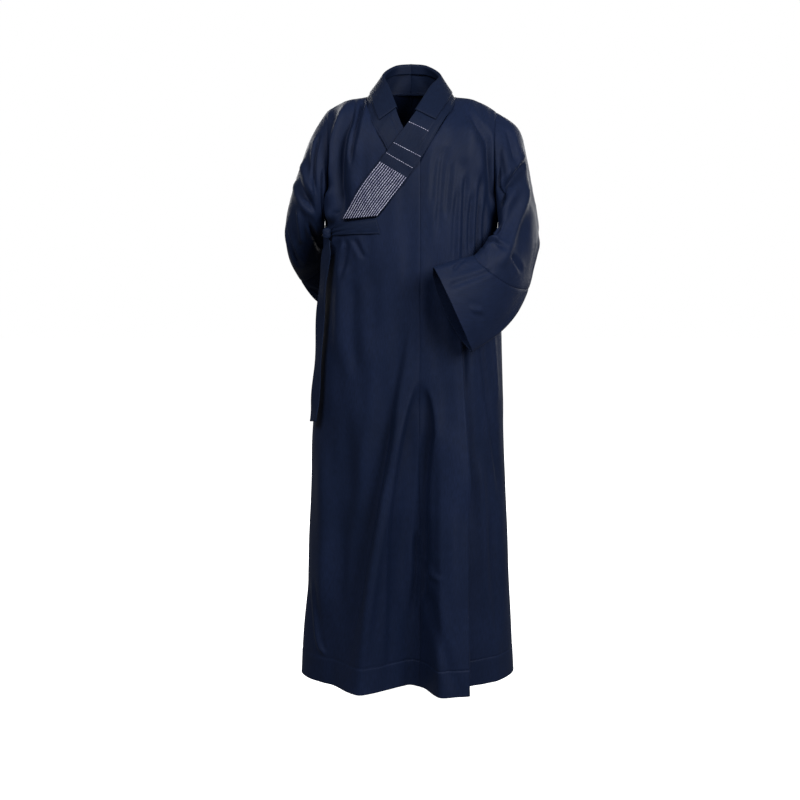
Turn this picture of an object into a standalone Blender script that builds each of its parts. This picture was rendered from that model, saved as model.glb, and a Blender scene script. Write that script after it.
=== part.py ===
"""Buddhist monk robe as it is worn: thin closed cloth walls for the panels, sleeves, collar and tie.

The robe hangs from the shoulders of a general figure. The origin is the middle of the neck base,
+Z is up, the front faces -Y and the wearer's left side is +X. Heights are negative below the neck.
"""
import bpy
import numpy as np

# Start from an empty scene.
for old in list(bpy.data.objects):
    bpy.data.objects.remove(old)

# Driving dimensions, in metres.
WALL = 0.0016
SEAM_GAP = 0.0003
HEM_HEIGHT = -1.325
ARMPIT_HEIGHT = -0.270
CENTRE_SEAM_X = 0.018
SHOULDER_DROP = 0.130
ROUNDNESS = 2.3

PLEAT_X = 0.113
PLEAT_RUN = 0.013

OVERLAP_LIFT = 0.0065
RIGHT_COLLAR_LIFT = 0.0032
LEFT_COLLAR_LIFT = 0.0098
GUARD_LIFT = 0.0034
TIE_LIFT = 0.0100

# Level sections of the body: height, middle, half width, depth in front, depth behind.
SECTIONS = np.array([
    (-1.325, -0.0050, 0.2460, 0.142, 0.165),
    (-1.070, -0.0045, 0.2305, 0.146, 0.150),
    (-0.760, -0.0030, 0.2145, 0.150, 0.138),
    (-0.530, 0.0000, 0.2020, 0.153, 0.128),
    (-0.400, 0.0000, 0.1920, 0.152, 0.122),
    (-0.270, 0.0000, 0.1945, 0.146, 0.120),
    (-0.150, 0.0000, 0.2120, 0.132, 0.122),
    (-0.045, 0.0000, 0.2220, 0.118, 0.115),
    (0.060, 0.0000, 0.2250, 0.108, 0.105),
])

# Depth in front of the layer that hangs under the overlap, by height.
UNDER_DEPTH = np.array([(-1.325, 0.092), (-0.900, 0.108), (-0.600, 0.128), (-0.420, 0.143),
                        (-0.330, 0.149), (-0.270, 0.146)])

# Top of the shoulder: distance from the middle, height.
SHOULDER_LINE = np.array([(0.000, 0.022), (0.050, 0.008), (0.096, -0.012), (0.140, -0.0205),
                          (0.187, -0.045), (0.240, -0.100)])

# Edges of the panels from the armpit to the shoulder line: distance from the middle, height.
ARMHOLE = np.array([(0.1945, -0.270), (0.1915, -0.258), (0.1840, -0.225), (0.1810, -0.180),
                    (0.1805, -0.135), (0.1820, -0.095), (0.1845, -0.068), (0.1865, -0.051),
                    (0.1870, -0.045)])
LEFT_NECK_EDGE = np.array([(0.018, -0.270), (0.018, -0.225), (0.018, -0.185), (0.018, -0.1465),
                           (0.0445, -0.105), (0.0690, -0.068), (0.0890, -0.036), (0.0945, -0.020),
                           (0.0960, -0.012)])
RIGHT_NECK_EDGE = np.array([(0.0180, -0.270), (-0.0010, -0.235), (-0.0205, -0.195), (-0.0400, -0.155),
                            (-0.0590, -0.118), (-0.0780, -0.080), (-0.0930, -0.045), (-0.0985, -0.022),
                            (-0.0995, -0.0115)])
BACK_NECK_EDGE = np.array([(0.000, -0.270), (0.000, -0.220), (0.000, -0.170), (0.000, -0.120),
                           (0.000, -0.075), (0.000, -0.035), (0.000, -0.003), (0.055, -0.004),
                           (0.0975, -0.012)])

LOWER_HEIGHTS = np.array([-1.325, -1.265, -1.180, -1.090, -1.000, -0.910, -0.820, -0.740, -0.660,
                          -0.580, -0.500, -0.420, -0.340, -0.270])
UPPER_STEPS = np.linspace(0.0, 1.0, len(ARMHOLE))
ARMPIT_ROW = len(LOWER_HEIGHTS) - 1
CENTRE_TOP_ROW = ARMPIT_ROW + 3

# The skirt's front: a lobe before each leg and the dip between, as height and how far, where or how wide.
LEFT_LOBE = np.array([(-1.325, 0.060), (-1.07, 0.045), (-0.80, 0.022), (-0.60, 0.0), (-0.27, 0.0)])
RIGHT_LOBE = np.array([(-1.325, 0.050), (-1.07, 0.038), (-0.80, 0.018), (-0.62, 0.0), (-0.27, 0.0)])
RIGHT_LOBE_X = np.array([(-1.325, -0.107), (-1.24, -0.100), (-1.04, -0.073), (-0.80, -0.030),
                         (-0.60, -0.010)])
RIGHT_LOBE_HALF = np.array([(-1.325, 0.040), (-0.80, 0.026), (-0.60, 0.022)])
DIP = np.array([(-1.325, 0.030), (-1.07, 0.024), (-0.80, 0.012), (-0.64, 0.0), (-0.27, 0.0)])
DIP_X = np.array([(-1.325, -0.006), (-0.90, 0.008), (-0.64, 0.020)])
DIP_HALF = 0.030
LEFT_LOBE_START = (0.026, 0.060)
BACK_LOBE = np.array([(-1.325, 0.020), (-0.90, 0.012), (-0.50, 0.003), (-0.27, 0.0)])
BACK_LOBE_HALF = 0.035

# Overlap: its slanting top edge under the collar, its free end round the side, and where its lift dies out.
OVERLAP_TOP = np.array([(-0.215, -0.318), (-0.178, -0.303), (-0.150, -0.291), (-0.110, -0.283),
                        (-0.075, -0.272), (-0.045, -0.235), (-0.012, -0.190), (0.018, -0.1465)])
OVERLAP_END = np.radians(-80.0)
OVERLAP_FADE = (0.110, 0.185)
SHOULDER_FADE = 0.08

# Under extension: how far it reaches behind the left front, and the height of its top at both ends.
UNDER_END_X = 0.100
UNDER_TOP = (-0.275, -0.430)

# Sleeves: four guide curves (outer side, front, inner side, back) from the armhole to the cuff.
LEFT_GUIDES = np.array([
    [(0.187, 0.000, -0.045), (0.181, -0.078, -0.150), (0.1945, 0.000, -0.270), (0.182, 0.070, -0.150)],
    [(0.2385, 0.000, -0.0830), (0.199, -0.094, -0.195), (0.2095, -0.010, -0.280), (0.208, 0.082, -0.180)],
    [(0.2580, 0.002, -0.1480), (0.207, -0.104, -0.238), (0.207, -0.042, -0.290), (0.229, 0.088, -0.225)],
    [(0.271, 0.008, -0.215), (0.211, -0.112, -0.272), (0.195, -0.072, -0.300), (0.245, 0.086, -0.268)],
    [(0.284, 0.016, -0.275), (0.214, -0.122, -0.305), (0.181, -0.099, -0.311), (0.256, 0.076, -0.310)],
    [(0.2865, 0.022, -0.335), (0.215, -0.134, -0.340), (0.165, -0.120, -0.323), (0.256, 0.052, -0.350)],
    [(0.276, 0.016, -0.390), (0.211, -0.146, -0.378), (0.148, -0.141, -0.338), (0.242, 0.010, -0.385)],
    [(0.2660, -0.005, -0.4350), (0.198, -0.160, -0.410), (0.132, -0.158, -0.350), (0.212, -0.045, -0.405)],
    [(0.2330, -0.076, -0.4860), (0.160, -0.195, -0.440), (0.102, -0.187, -0.357), (0.165, -0.125, -0.430)],
    [(0.1860, -0.138, -0.5260), (0.121, -0.222, -0.462), (0.073, -0.212, -0.365), (0.115, -0.172, -0.455)],
    [(0.1280, -0.190, -0.5560), (0.094, -0.238, -0.475), (0.046, -0.232, -0.374), (0.068, -0.188, -0.465)],
])
RIGHT_GUIDES = np.array([
    [(-0.187, 0.000, -0.045), (-0.181, -0.078, -0.150), (-0.1945, 0.000, -0.270), (-0.182, 0.070, -0.150)],
    [(-0.222, 0.002, -0.100), (-0.201, -0.092, -0.195), (-0.2095, 0.010, -0.280), (-0.206, 0.088, -0.185)],
    [(-0.2465, 0.006, -0.160), (-0.216, -0.092, -0.238), (-0.208, 0.030, -0.288), (-0.222, 0.104, -0.228)],
    [(-0.264, 0.012, -0.212), (-0.230, -0.080, -0.278), (-0.203, 0.057, -0.296), (-0.230, 0.120, -0.262)],
    [(-0.277, 0.022, -0.262), (-0.240, -0.056, -0.315), (-0.194, 0.082, -0.302), (-0.229, 0.137, -0.294)],
    [(-0.2800, 0.038, -0.3120), (-0.243, -0.022, -0.352), (-0.181, 0.106, -0.309), (-0.219, 0.155, -0.322)],
    [(-0.2700, 0.062, -0.3620), (-0.238, 0.022, -0.388), (-0.162, 0.130, -0.316), (-0.200, 0.175, -0.348)],
    [(-0.2500, 0.094, -0.4200), (-0.213, 0.085, -0.405), (-0.135, 0.155, -0.325), (-0.168, 0.198, -0.380)],
    [(-0.2170, 0.140, -0.4780), (-0.150, 0.140, -0.425), (-0.090, 0.182, -0.340), (-0.120, 0.222, -0.412)],
    [(-0.145, 0.185, -0.522), (-0.085, 0.167, -0.450), (-0.040, 0.197, -0.355), (-0.065, 0.235, -0.435)],
    [(-0.070, 0.212, -0.555), (-0.025, 0.180, -0.468), (0.010, 0.207, -0.372), (-0.010, 0.240, -0.455)],
])
SLEEVE_SEAM = 7
RING_POINTS = 2 * (len(ARMHOLE) - 1)

# Collar: points along each band's sewn and free edges, from the middle of the back to the band's end.
LEFT_SEAM = [(0.0002, 0.0664, -0.0022), (0.0545, 0.0440, -0.0030), (0.0938, 0.0000, -0.0092),
             (0.0885, -0.0660, -0.0320), (0.0660, -0.1100, -0.0700), (0.0220, -0.1350, -0.1430),
             (-0.0100, -0.1400, -0.1880), (-0.0430, -0.1450, -0.2310), (-0.0735, -0.1450, -0.2690)]
LEFT_FREE = [(0.0002, 0.0550, 0.0580), (0.0370, 0.0400, 0.0530), (0.0640, 0.0000, 0.0310),
             (0.0423, -0.0450, 0.0050), (0.0120, -0.0850, -0.0430), (-0.0385, -0.1200, -0.1120),
             (-0.0690, -0.1300, -0.1535), (-0.1090, -0.1300, -0.2060), (-0.1510, -0.1200, -0.2780)]
RIGHT_SEAM = [(-0.0002, 0.0664, -0.0022), (-0.0545, 0.0440, -0.0030), (-0.0965, 0.0000, -0.0100),
              (-0.0940, -0.0600, -0.0350), (-0.0800, -0.0950, -0.0740), (-0.0620, -0.1100, -0.1100),
              (-0.0360, -0.1280, -0.1620), (0.0060, -0.1400, -0.2450), (0.0470, -0.1450, -0.3200)]
RIGHT_FREE = [(-0.0002, 0.0550, 0.0580), (-0.0370, 0.0400, 0.0530), (-0.0620, 0.0000, 0.0320),
              (-0.0500, -0.0450, 0.0020), (-0.0350, -0.0800, -0.0390), (-0.0190, -0.1050, -0.0800),
              (0.0120, -0.1250, -0.1350), (0.0550, -0.1350, -0.2150), (0.0950, -0.1400, -0.2850)]
COLLAR_STATIONS = np.linspace(0.0, 8.0, 25)
GUARD_PARTS = np.linspace(0.26, 1.0, 3)
GUARD_STATIONS = np.linspace(0.0, 4.15, 14)
# The two stations between which a band goes over from standing at the neck to lying on the chest.
COLLAR_SETTLE = (2.6, 4.2)

# Tie: top and lower edge of the band on the front, the hanging end's path and half its width, and the knot.
BAND_TOP = [(-0.0745, -0.2735), (-0.110, -0.2790), (-0.140, -0.2840), (-0.158, -0.2910), (-0.1680, -0.2990)]
BAND_LOW = [(-0.0660, -0.3060), (-0.100, -0.3070), (-0.130, -0.3085), (-0.155, -0.3125), (-0.1680, -0.3150)]
TAIL_PATH = np.array([(-0.1800, -0.1020, -0.3230), (-0.1870, -0.0990, -0.3560), (-0.1950, -0.0920, -0.4200),
                      (-0.2020, -0.0870, -0.5000), (-0.2080, -0.0850, -0.6000), (-0.2150, -0.0850, -0.6800),
                      (-0.2195, -0.0850, -0.7250)])
TAIL_HALF = np.array([0.0080, -0.0136, -0.0040])
KNOT_CENTRE = np.array([-0.1845, -0.0960, -0.3080])
KNOT_RADII = np.array([0.0125, 0.0095, 0.0125])
KNOT_RINGS = 7
KNOT_SIDES = 12

MATERIALS = {
    "navy_cloth": ("#1b2640", 0.62),
    "navy_collar": ("#1c2741", 0.58),
    "navy_tie": ("#18223a", 0.60),
}


def smooth(knots, values, at):
    """Cubic curve through the values, its slope at each knot taken from the neighbours."""
    knots = np.asarray(knots, float)
    values = np.asarray(values, float)
    at = np.asarray(at, float)
    slopes = np.gradient(values, knots, axis=0)
    i = np.clip(np.searchsorted(knots, at, side="right") - 1, 0, len(knots) - 2)
    width = knots[i + 1] - knots[i]
    u = np.clip((at - knots[i]) / width, 0.0, 1.0)
    if values.ndim > 1:
        width = width[..., None]
        u = u[..., None]
    rise = u * u * (3.0 - 2.0 * u)
    start = u * (1.0 - u) ** 2
    end = u * u * (u - 1.0)
    return values[i] * (1.0 - rise) + values[i + 1] * rise + width * (slopes[i] * start + slopes[i + 1] * end)


def ease(x, low, high):
    """Smooth step from 0 at low to 1 at high."""
    u = np.clip((np.asarray(x, float) - low) / (high - low), 0.0, 1.0)
    return u * u * (3.0 - 2.0 * u)


def bump(x, half_width):
    """Soft ridge of height 1, about half_width to each side."""
    return np.exp(-(x / half_width) ** 2)


def unit(vectors):
    """The vectors at length 1."""
    return vectors / np.linalg.norm(vectors, axis=-1, keepdims=True)


def section(z):
    """Middle, half width, front depth and back depth of the body at height z."""
    values = smooth(SECTIONS[:, 0], SECTIONS[:, 1:], z)
    return values[..., 0], values[..., 1], values[..., 2], values[..., 3]


def shoulder_height(x):
    """Height of the shoulder line at a distance x from the middle."""
    return smooth(SHOULDER_LINE[:, 0], SHOULDER_LINE[:, 1], np.abs(x))


def body_point(x, z, face, lift, depth=None):
    """Point of the body's surface: a superellipse at each level, rounded over at the shoulder.

    face is -1 in front and 1 behind; lift moves the point level, square to the section.
    """
    middle, half_width, front, back = section(z)
    if depth is None:
        depth = front if face < 0 else back
    across = np.clip(np.abs(x - middle) / half_width, 0.0, 1.0)
    along = np.maximum(1.0 - across ** ROUNDNESS, 0.0)
    drop = np.clip((shoulder_height(x) - z) / SHOULDER_DROP, 0.0, 1.0)
    rounding = np.sqrt(1.0 - (1.0 - drop) ** 2)
    y = face * depth * along ** (1.0 / ROUNDNESS) * rounding
    square = (ROUNDNESS - 1.0) / ROUNDNESS
    nx = np.sign(x - middle) * across ** (ROUNDNESS - 1.0) / half_width
    ny = face * along ** square / depth
    size = np.hypot(nx, ny)
    return np.stack([x + lift * nx / size, y + lift * ny / size, z + 0.0 * x], axis=-1)


def by_height(table, z):
    """Value at height z from a table of heights and values."""
    return smooth(table[:, 0], table[:, 1], z)


def front_folds(x, z):
    """How far the skirt's front stands out of its section: a lobe before each leg and the dip between."""
    step = 1.0 - ease(x, PLEAT_X, PLEAT_X + PLEAT_RUN)
    left_lobe = by_height(LEFT_LOBE, z) * ease(x, *LEFT_LOBE_START) * step
    right_lobe = by_height(RIGHT_LOBE, z) * bump(x - by_height(RIGHT_LOBE_X, z), by_height(RIGHT_LOBE_HALF, z))
    return left_lobe + right_lobe - by_height(DIP, z) * bump(x - by_height(DIP_X, z), DIP_HALF)


def back_folds(x, z):
    """Soft lobes of the back, growing from the seat to the hem, with a shallow dip between."""
    lobes = bump(x - 0.105, BACK_LOBE_HALF) + bump(x + 0.115, BACK_LOBE_HALF) - 0.6 * bump(x, 0.040)
    return by_height(BACK_LOBE, z) * lobes


def overlap_lift(x, z):
    """Lift of the outer front over the layer below it, none at the left side and the shoulder."""
    below = ease(shoulder_height(x) - z, 0.0, SHOULDER_FADE)
    return OVERLAP_LIFT * (1.0 - ease(x, *OVERLAP_FADE)) * below


def angle_of(x, middle, half_width):
    """Angle on the section at which x lies, 0 in the middle and a right angle at the side."""
    offset = (x - middle) / half_width
    return np.sign(offset) * np.arcsin(np.clip(np.abs(offset), 0.0, 1.0) ** (ROUNDNESS / 2.0))


def across_at(angle, middle, half_width):
    """The inverse of angle_of."""
    sine = np.sin(angle)
    return middle + half_width * np.sign(sine) * np.abs(sine) ** (2.0 / ROUNDNESS)


def panel_plan(inner_edge, side, columns):
    """x and z of a body panel from hem to shoulder, from its inner edge to its side seam and armhole."""
    low = LOWER_HEIGHTS[:-1]
    middle, half_width, _, _ = section(low)
    inner_x = np.concatenate([np.full(len(low), inner_edge[0, 0]), inner_edge[:, 0]])
    inner_z = np.concatenate([low, inner_edge[:, 1]])
    outer_x = np.concatenate([middle + side * half_width, side * ARMHOLE[:, 0]])
    outer_z = np.concatenate([low, ARMHOLE[:, 1]])
    inner_drop = shoulder_height(inner_x) - inner_z
    outer_drop = shoulder_height(outer_x) - outer_z
    inner_drop[-1] = 0.0
    outer_drop[-1] = 0.0
    bend = np.concatenate([np.zeros(len(low)), ease(UPPER_STEPS, 0.0, 1.0)])[:, None]
    middle, half_width, _, _ = section(0.5 * (inner_z + outer_z))
    start = angle_of(inner_x, middle, half_width)[:, None]
    end = angle_of(outer_x, middle, half_width)[:, None]
    start_x = across_at(start, middle[:, None], half_width[:, None])
    end_x = across_at(end, middle[:, None], half_width[:, None])
    raw = across_at(start + (end - start) * columns, middle[:, None], half_width[:, None])
    part = (raw - start_x) / (end_x - start_x)
    x = inner_x[:, None] + (outer_x - inner_x)[:, None] * part
    level = inner_z[:, None] + (outer_z - inner_z)[:, None] * part
    draped = shoulder_height(x) - (inner_drop[:, None] + (outer_drop - inner_drop)[:, None] * part)
    return x, level * (1.0 - bend) + draped * bend


def outward_normals(grid, hint, around=False):
    """Unit normals from the differences along rows and columns, turned to the side of hint."""
    across = np.gradient(grid, axis=1)
    if around:
        across = np.roll(grid, -1, axis=1) - np.roll(grid, 1, axis=1)
    normals = unit(np.cross(across, np.gradient(grid, axis=0)))
    return normals * np.sign(np.sum(normals * hint))


def draw_in(grid, edge, beside):
    """Pull an edge of a grid in along the cloth by half a seam's gap, towards the points beside it."""
    grid[edge] += 0.5 * SEAM_GAP * unit(grid[beside] - grid[edge])


def make_material(name):
    """Plain dyed cloth: a base colour, a roughness and no metal."""
    hex_colour, roughness = MATERIALS[name]
    material = bpy.data.materials.get(name) or bpy.data.materials.new(name)
    material.use_nodes = True
    shader = material.node_tree.nodes["Principled BSDF"]
    srgb = np.array([int(hex_colour[i:i + 2], 16) for i in (1, 3, 5)]) / 255.0
    linear = np.where(srgb < 0.04045, srgb / 12.92, ((srgb + 0.055) / 1.055) ** 2.4)
    shader.inputs["Base Color"].default_value = (*linear, 1.0)
    shader.inputs["Roughness"].default_value = roughness
    shader.inputs["Metallic"].default_value = 0.0
    return material


def cloth_wall(name, grid, normals, material, around=False):
    """One closed wall: the grid outside, the grid moved in by the wall inside, and rims between."""
    facing = np.cross(grid[1:, 1:] - grid[:-1, :-1], grid[1:, :-1] - grid[:-1, 1:])
    if np.sum(facing * normals[:-1, :-1]) < 0.0:
        grid = grid[:, ::-1]
        normals = normals[:, ::-1]
    rows, columns = grid.shape[:2]
    points = np.concatenate([grid.reshape(-1, 3), (grid - WALL * normals).reshape(-1, 3)])
    spans = columns if around else columns - 1

    def corner(row, column, layer):
        return (layer * rows + row) * columns + column % columns

    # Both sides of the wall are cut into triangles along the same diagonals, so that they never cross.
    faces = []
    for row in range(rows - 1):
        for column in range(spans):
            first, opposite = (row, column), (row + 1, column + 1)
            for loop in ([first, (row, column + 1), opposite], [first, opposite, (row + 1, column)]):
                faces.append([corner(r, c, 0) for r, c in loop])
                faces.append([corner(r, c, 1) for r, c in reversed(loop)])
    edges = [[(0, (c + 1) % columns), (0, c)] for c in range(spans)]
    edges += [[(rows - 1, c), (rows - 1, (c + 1) % columns)] for c in range(spans)]
    if not around:
        edges += [[(r, 0), (r + 1, 0)] for r in range(rows - 1)]
        edges += [[(r + 1, columns - 1), (r, columns - 1)] for r in range(rows - 1)]
    for first, second in edges:
        rim = [corner(*first, 0), corner(*second, 0), corner(*second, 1), corner(*first, 1)]
        # Two panels at a seam cut their twisted rims along the same diagonal, from the higher end.
        if grid[first][2] > grid[second][2]:
            faces += [[rim[0], rim[1], rim[2]], [rim[0], rim[2], rim[3]]]
        else:
            faces += [[rim[0], rim[1], rim[3]], [rim[1], rim[2], rim[3]]]
    mesh = bpy.data.meshes.new(name)
    mesh.from_pydata(points.tolist(), [], faces)
    mesh.materials.append(make_material(material))
    mesh.shade_smooth()
    mesh.set_sharp_from_angle(angle=1.0)
    piece = bpy.data.objects.new(name, mesh)
    bpy.context.scene.collection.objects.link(piece)
    return piece


grids = {}
normals = {}


def outer_front(x, z):
    """Point of the outer front: its folds, and its lift over the layer below."""
    return body_point(x, z, -1, front_folds(x, z) + overlap_lift(x, z))


def under_front(x, z):
    """Point of the layer below: on the section at the chest, plain and further in below it."""
    depth = by_height(UNDER_DEPTH, z)
    return body_point(x, z, -1, 0.0, np.where(z > ARMPIT_HEIGHT, section(z)[2], depth))


def back_surface(x, z):
    """Point of the back with its soft lobes."""
    return body_point(x, z, 1, back_folds(x, z))


# Body panels: two backs, the left front, and the right front that runs on under the overlap.
pleated = np.concatenate([np.linspace(0.0, 0.40, 6), [0.455], np.linspace(0.53, 1.0, 6)])
even = np.linspace(0.0, 1.0, 13)
grids["front_left"] = outer_front(*panel_plan(LEFT_NECK_EDGE, 1, pleated))
grids["back_left"] = back_surface(*panel_plan(BACK_NECK_EDGE, 1, pleated))
grids["back_right"] = back_surface(*panel_plan(BACK_NECK_EDGE * (-1.0, 1.0), -1, even))
grids["front_right"] = under_front(*panel_plan(RIGHT_NECK_EDGE, -1, even))

# Overlap: from the centre seam across the front, its top edge slanting down under the collar.
centre_heights = np.concatenate([LOWER_HEIGHTS, LEFT_NECK_EDGE[1:4, 1]])
columns = np.linspace(0.0, 1.0, 15)
middle, half_width, _, _ = section(-0.25)
start = angle_of(CENTRE_SEAM_X, middle, half_width)
top = smooth(OVERLAP_TOP[:, 0], OVERLAP_TOP[:, 1],
             across_at(start + (OVERLAP_END - start) * columns, middle, half_width))
z = HEM_HEIGHT + np.outer((centre_heights - HEM_HEIGHT) / (centre_heights[-1] - HEM_HEIGHT), top - HEM_HEIGHT)
middle, half_width, _, _ = section(z)
start = angle_of(CENTRE_SEAM_X, middle, half_width)
x = across_at(start + (OVERLAP_END - start) * columns, middle, half_width)
grids["overlap"] = outer_front(x, z)

# Under extension: the plain inner edge of the right front, behind the left front.
top = np.linspace(*UNDER_TOP, 5)
x = np.linspace(CENTRE_SEAM_X, UNDER_END_X, 5) + np.zeros((10, 1))
z = HEM_HEIGHT + np.outer(np.linspace(0.0, 1.0, 10), top - HEM_HEIGHT)
grids["front_under"] = under_front(x, z)

for name, grid in grids.items():
    normals[name] = outward_normals(grid, grid * (1.0, 1.0, 0.0))


def sleeve_grid(guides, armhole, stations):
    """Rings through the four guides, led over from the armhole's own loop along the first stretch."""
    knots = np.arange(len(guides))
    angle = 2.0 * np.pi * np.arange(RING_POINTS) / RING_POINTS

    def rings(at):
        outer, front, inner, back = (smooth(knots, guides[:, i], at)[:, None] for i in range(4))
        cosine = np.cos(angle)[:, None]
        sine = np.sin(angle)[:, None]
        middle = 0.25 * (outer + front + inner + back)
        squash = 0.25 * (outer + inner - front - back) * (cosine ** 2 - sine ** 2)
        return middle + 0.5 * (outer - inner) * cosine + 0.5 * (front - back) * sine + squash

    fade = (1.0 - ease(stations, 0.0, 2.0))[:, None, None]
    return rings(stations) + fade * (armhole - rings(np.zeros(1)))


def armhole_loop(front, back):
    """Armhole points from the shoulder down the front edge and up the back edge."""
    return np.concatenate([front[:ARMPIT_ROW - 1:-1, -1], back[ARMPIT_ROW + 1:-1, -1]])


for side, guides in (("left", LEFT_GUIDES), ("right", RIGHT_GUIDES)):
    front = "front_" + side
    back = "back_" + side
    loop = armhole_loop(grids[front], grids[back])
    whole = sleeve_grid(guides, loop, np.arange(len(guides), dtype=float))
    made = outward_normals(whole, whole - whole.mean(axis=1, keepdims=True), around=True)
    for part, rows in (("sleeve_", slice(0, SLEEVE_SEAM + 1)), ("sleeve_end_", slice(SLEEVE_SEAM, None))):
        grids[part + side] = whole[rows].copy()
        normals[part + side] = made[rows].copy()

    # Where panels meet, the wall's edge faces halfway between them.
    sides = unit(normals[front][:ARMPIT_ROW, -1] + normals[back][:ARMPIT_ROW, -1])
    normals[front][:ARMPIT_ROW, -1] = sides
    normals[back][:ARMPIT_ROW, -1] = sides
    ridge = unit(normals[front][-1] + normals[back][-1])
    normals[front][-1] = ridge
    normals[back][-1] = ridge
    edge = armhole_loop(normals[front], normals[back])
    edge[RING_POINTS // 2] = unit(normals[front][ARMPIT_ROW, -1] + normals[back][ARMPIT_ROW, -1])
    edge = unit(edge + normals["sleeve_" + side][0])
    normals["sleeve_" + side][0] = edge
    half = RING_POINTS // 2
    normals[front][ARMPIT_ROW:, -1] = edge[half::-1]
    normals[back][ARMPIT_ROW:, -1] = np.concatenate([edge[half:], edge[:1]])

both = unit(normals["back_left"][:ARMPIT_ROW + 7, 0] + normals["back_right"][:ARMPIT_ROW + 7, 0])
normals["back_left"][:ARMPIT_ROW + 7, 0] = both
normals["back_right"][:ARMPIT_ROW + 7, 0] = both
both = unit(normals["front_left"][:CENTRE_TOP_ROW + 1, 0] + normals["overlap"][:, 0])
normals["front_left"][:CENTRE_TOP_ROW + 1, 0] = both
normals["overlap"][:, 0] = both

# Seams: each panel stops half a gap short of the line it shares.
for name in ("front_left", "front_right", "back_left", "back_right"):
    draw_in(grids[name], np.s_[:, -1], np.s_[:, -2])
    draw_in(grids[name], np.s_[-1, :], np.s_[-2, :])
    draw_in(grids[name], np.s_[:, 0], np.s_[:, 1])
draw_in(grids["overlap"], np.s_[:, 0], np.s_[:, 1])
grids["front_under"][..., 0] += 2.0 * SEAM_GAP
for side in ("left", "right"):
    for _ in range(2):
        draw_in(grids["sleeve_" + side], np.s_[0], np.s_[1])
    draw_in(grids["sleeve_" + side], np.s_[-1], np.s_[-2])
    draw_in(grids["sleeve_end_" + side], np.s_[0], np.s_[1])

for name in grids:
    cloth_wall(name, grids[name], normals[name], "navy_cloth", around=name.startswith("sleeve"))


def on_front(x, z, lift):
    """y of a layer that lies on the front of the body, moved out by lift."""
    return body_point(x, z, -1, 0.0)[..., 1] - lift


def band(seam, free, stations, parts, lift, settle):
    """Strip between a seam edge and a free edge: it stands free at the neck and lies on the chest.

    seam and free are points along the two edges, settle the two stations between which the strip
    goes over from the straight line between its edges to the surface of the chest.
    """
    knots = np.arange(len(seam))
    first = smooth(knots, np.array(seam, float), stations)[:, None, :]
    second = smooth(knots, np.array(free, float), stations)[:, None, :]
    points = first + (second - first) * parts[None, :, None]
    chest = on_front(points[..., 0], points[..., 2], lift)
    weight = ease(stations, *settle)[:, None]
    points[..., 1] = points[..., 1] * (1.0 - weight) + chest * weight
    return points


across = np.linspace(0.0, 1.0, 4)
strips = {
    "collar_left": band(LEFT_SEAM, LEFT_FREE, COLLAR_STATIONS, across, LEFT_COLLAR_LIFT, COLLAR_SETTLE),
    "collar_right": band(RIGHT_SEAM, RIGHT_FREE, COLLAR_STATIONS, across, RIGHT_COLLAR_LIFT, COLLAR_SETTLE),
}
left_guard = band(LEFT_SEAM, LEFT_FREE, GUARD_STATIONS, GUARD_PARTS, LEFT_COLLAR_LIFT, COLLAR_SETTLE)
right_guard = band(RIGHT_SEAM, RIGHT_FREE, GUARD_STATIONS, GUARD_PARTS, RIGHT_COLLAR_LIFT, COLLAR_SETTLE)
strips["collar_guard"] = np.concatenate([right_guard[:0:-1], left_guard])
for name, grid in strips.items():
    normals[name] = outward_normals(grid, grid * (1.0, 1.0, 0.0))
for name in ("collar_left", "collar_right"):
    normals[name][0] = unit(normals[name][0] * (0.0, 1.0, 1.0))
strips["collar_guard"] += GUARD_LIFT * normals["collar_guard"]

stations = np.linspace(0.0, 4.0, 9)
knots = np.arange(5)
upper = smooth(knots, np.array(BAND_TOP), stations)
lower = smooth(knots, np.array(BAND_LOW), stations)
flat = upper[:, None] + (lower - upper)[:, None] * np.linspace(0.0, 1.0, 4)[None, :, None]
strips["tie_front"] = body_point(flat[..., 0], flat[..., 1], -1, TIE_LIFT)
normals["tie_front"] = outward_normals(strips["tie_front"], np.array([0.0, -1.0, 0.0]))

path = smooth(np.arange(7), TAIL_PATH, np.linspace(0.0, 6.0, 13))
strips["tie_tail"] = path[:, None] + TAIL_HALF * np.linspace(-1.0, 1.0, 3)[None, :, None]
normals["tie_tail"] = outward_normals(strips["tie_tail"], np.array([-1.0, -0.6, 0.0]))

for name, grid in strips.items():
    cloth_wall(name, grid, normals[name], "navy_tie" if name.startswith("tie") else "navy_collar")

# The knot is cloth drawn tight, one small solid lump with a waist round its middle.
turn = np.radians(np.linspace(-90.0, 90.0, KNOT_RINGS + 2)[1:-1])[:, None]
angle = np.linspace(0.0, 2.0 * np.pi, KNOT_SIDES, endpoint=False)[None, :]
waist = 1.0 - 0.14 * np.cos(2.0 * turn)
ball = np.stack([np.cos(turn) * np.cos(angle) * waist, np.cos(turn) * np.sin(angle) * waist,
                 np.sin(turn) + 0.0 * angle], axis=-1).reshape(-1, 3)
points = KNOT_CENTRE + KNOT_RADII * np.concatenate([ball, [(0.0, 0.0, -1.0), (0.0, 0.0, 1.0)]])
faces = []
for ring in range(KNOT_RINGS - 1):
    for side in range(KNOT_SIDES):
        beside = (side + 1) % KNOT_SIDES
        low = ring * KNOT_SIDES
        faces.append([low + side, low + beside, low + KNOT_SIDES + beside, low + KNOT_SIDES + side])
last = (KNOT_RINGS - 1) * KNOT_SIDES
for side in range(KNOT_SIDES):
    beside = (side + 1) % KNOT_SIDES
    faces.append([beside, side, len(points) - 2])
    faces.append([last + side, last + beside, len(points) - 1])
mesh = bpy.data.meshes.new("tie_knot")
mesh.from_pydata(points.tolist(), [], faces)
mesh.materials.append(make_material("navy_tie"))
mesh.shade_smooth()
bpy.context.scene.collection.objects.link(bpy.data.objects.new("tie_knot", mesh))
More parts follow.
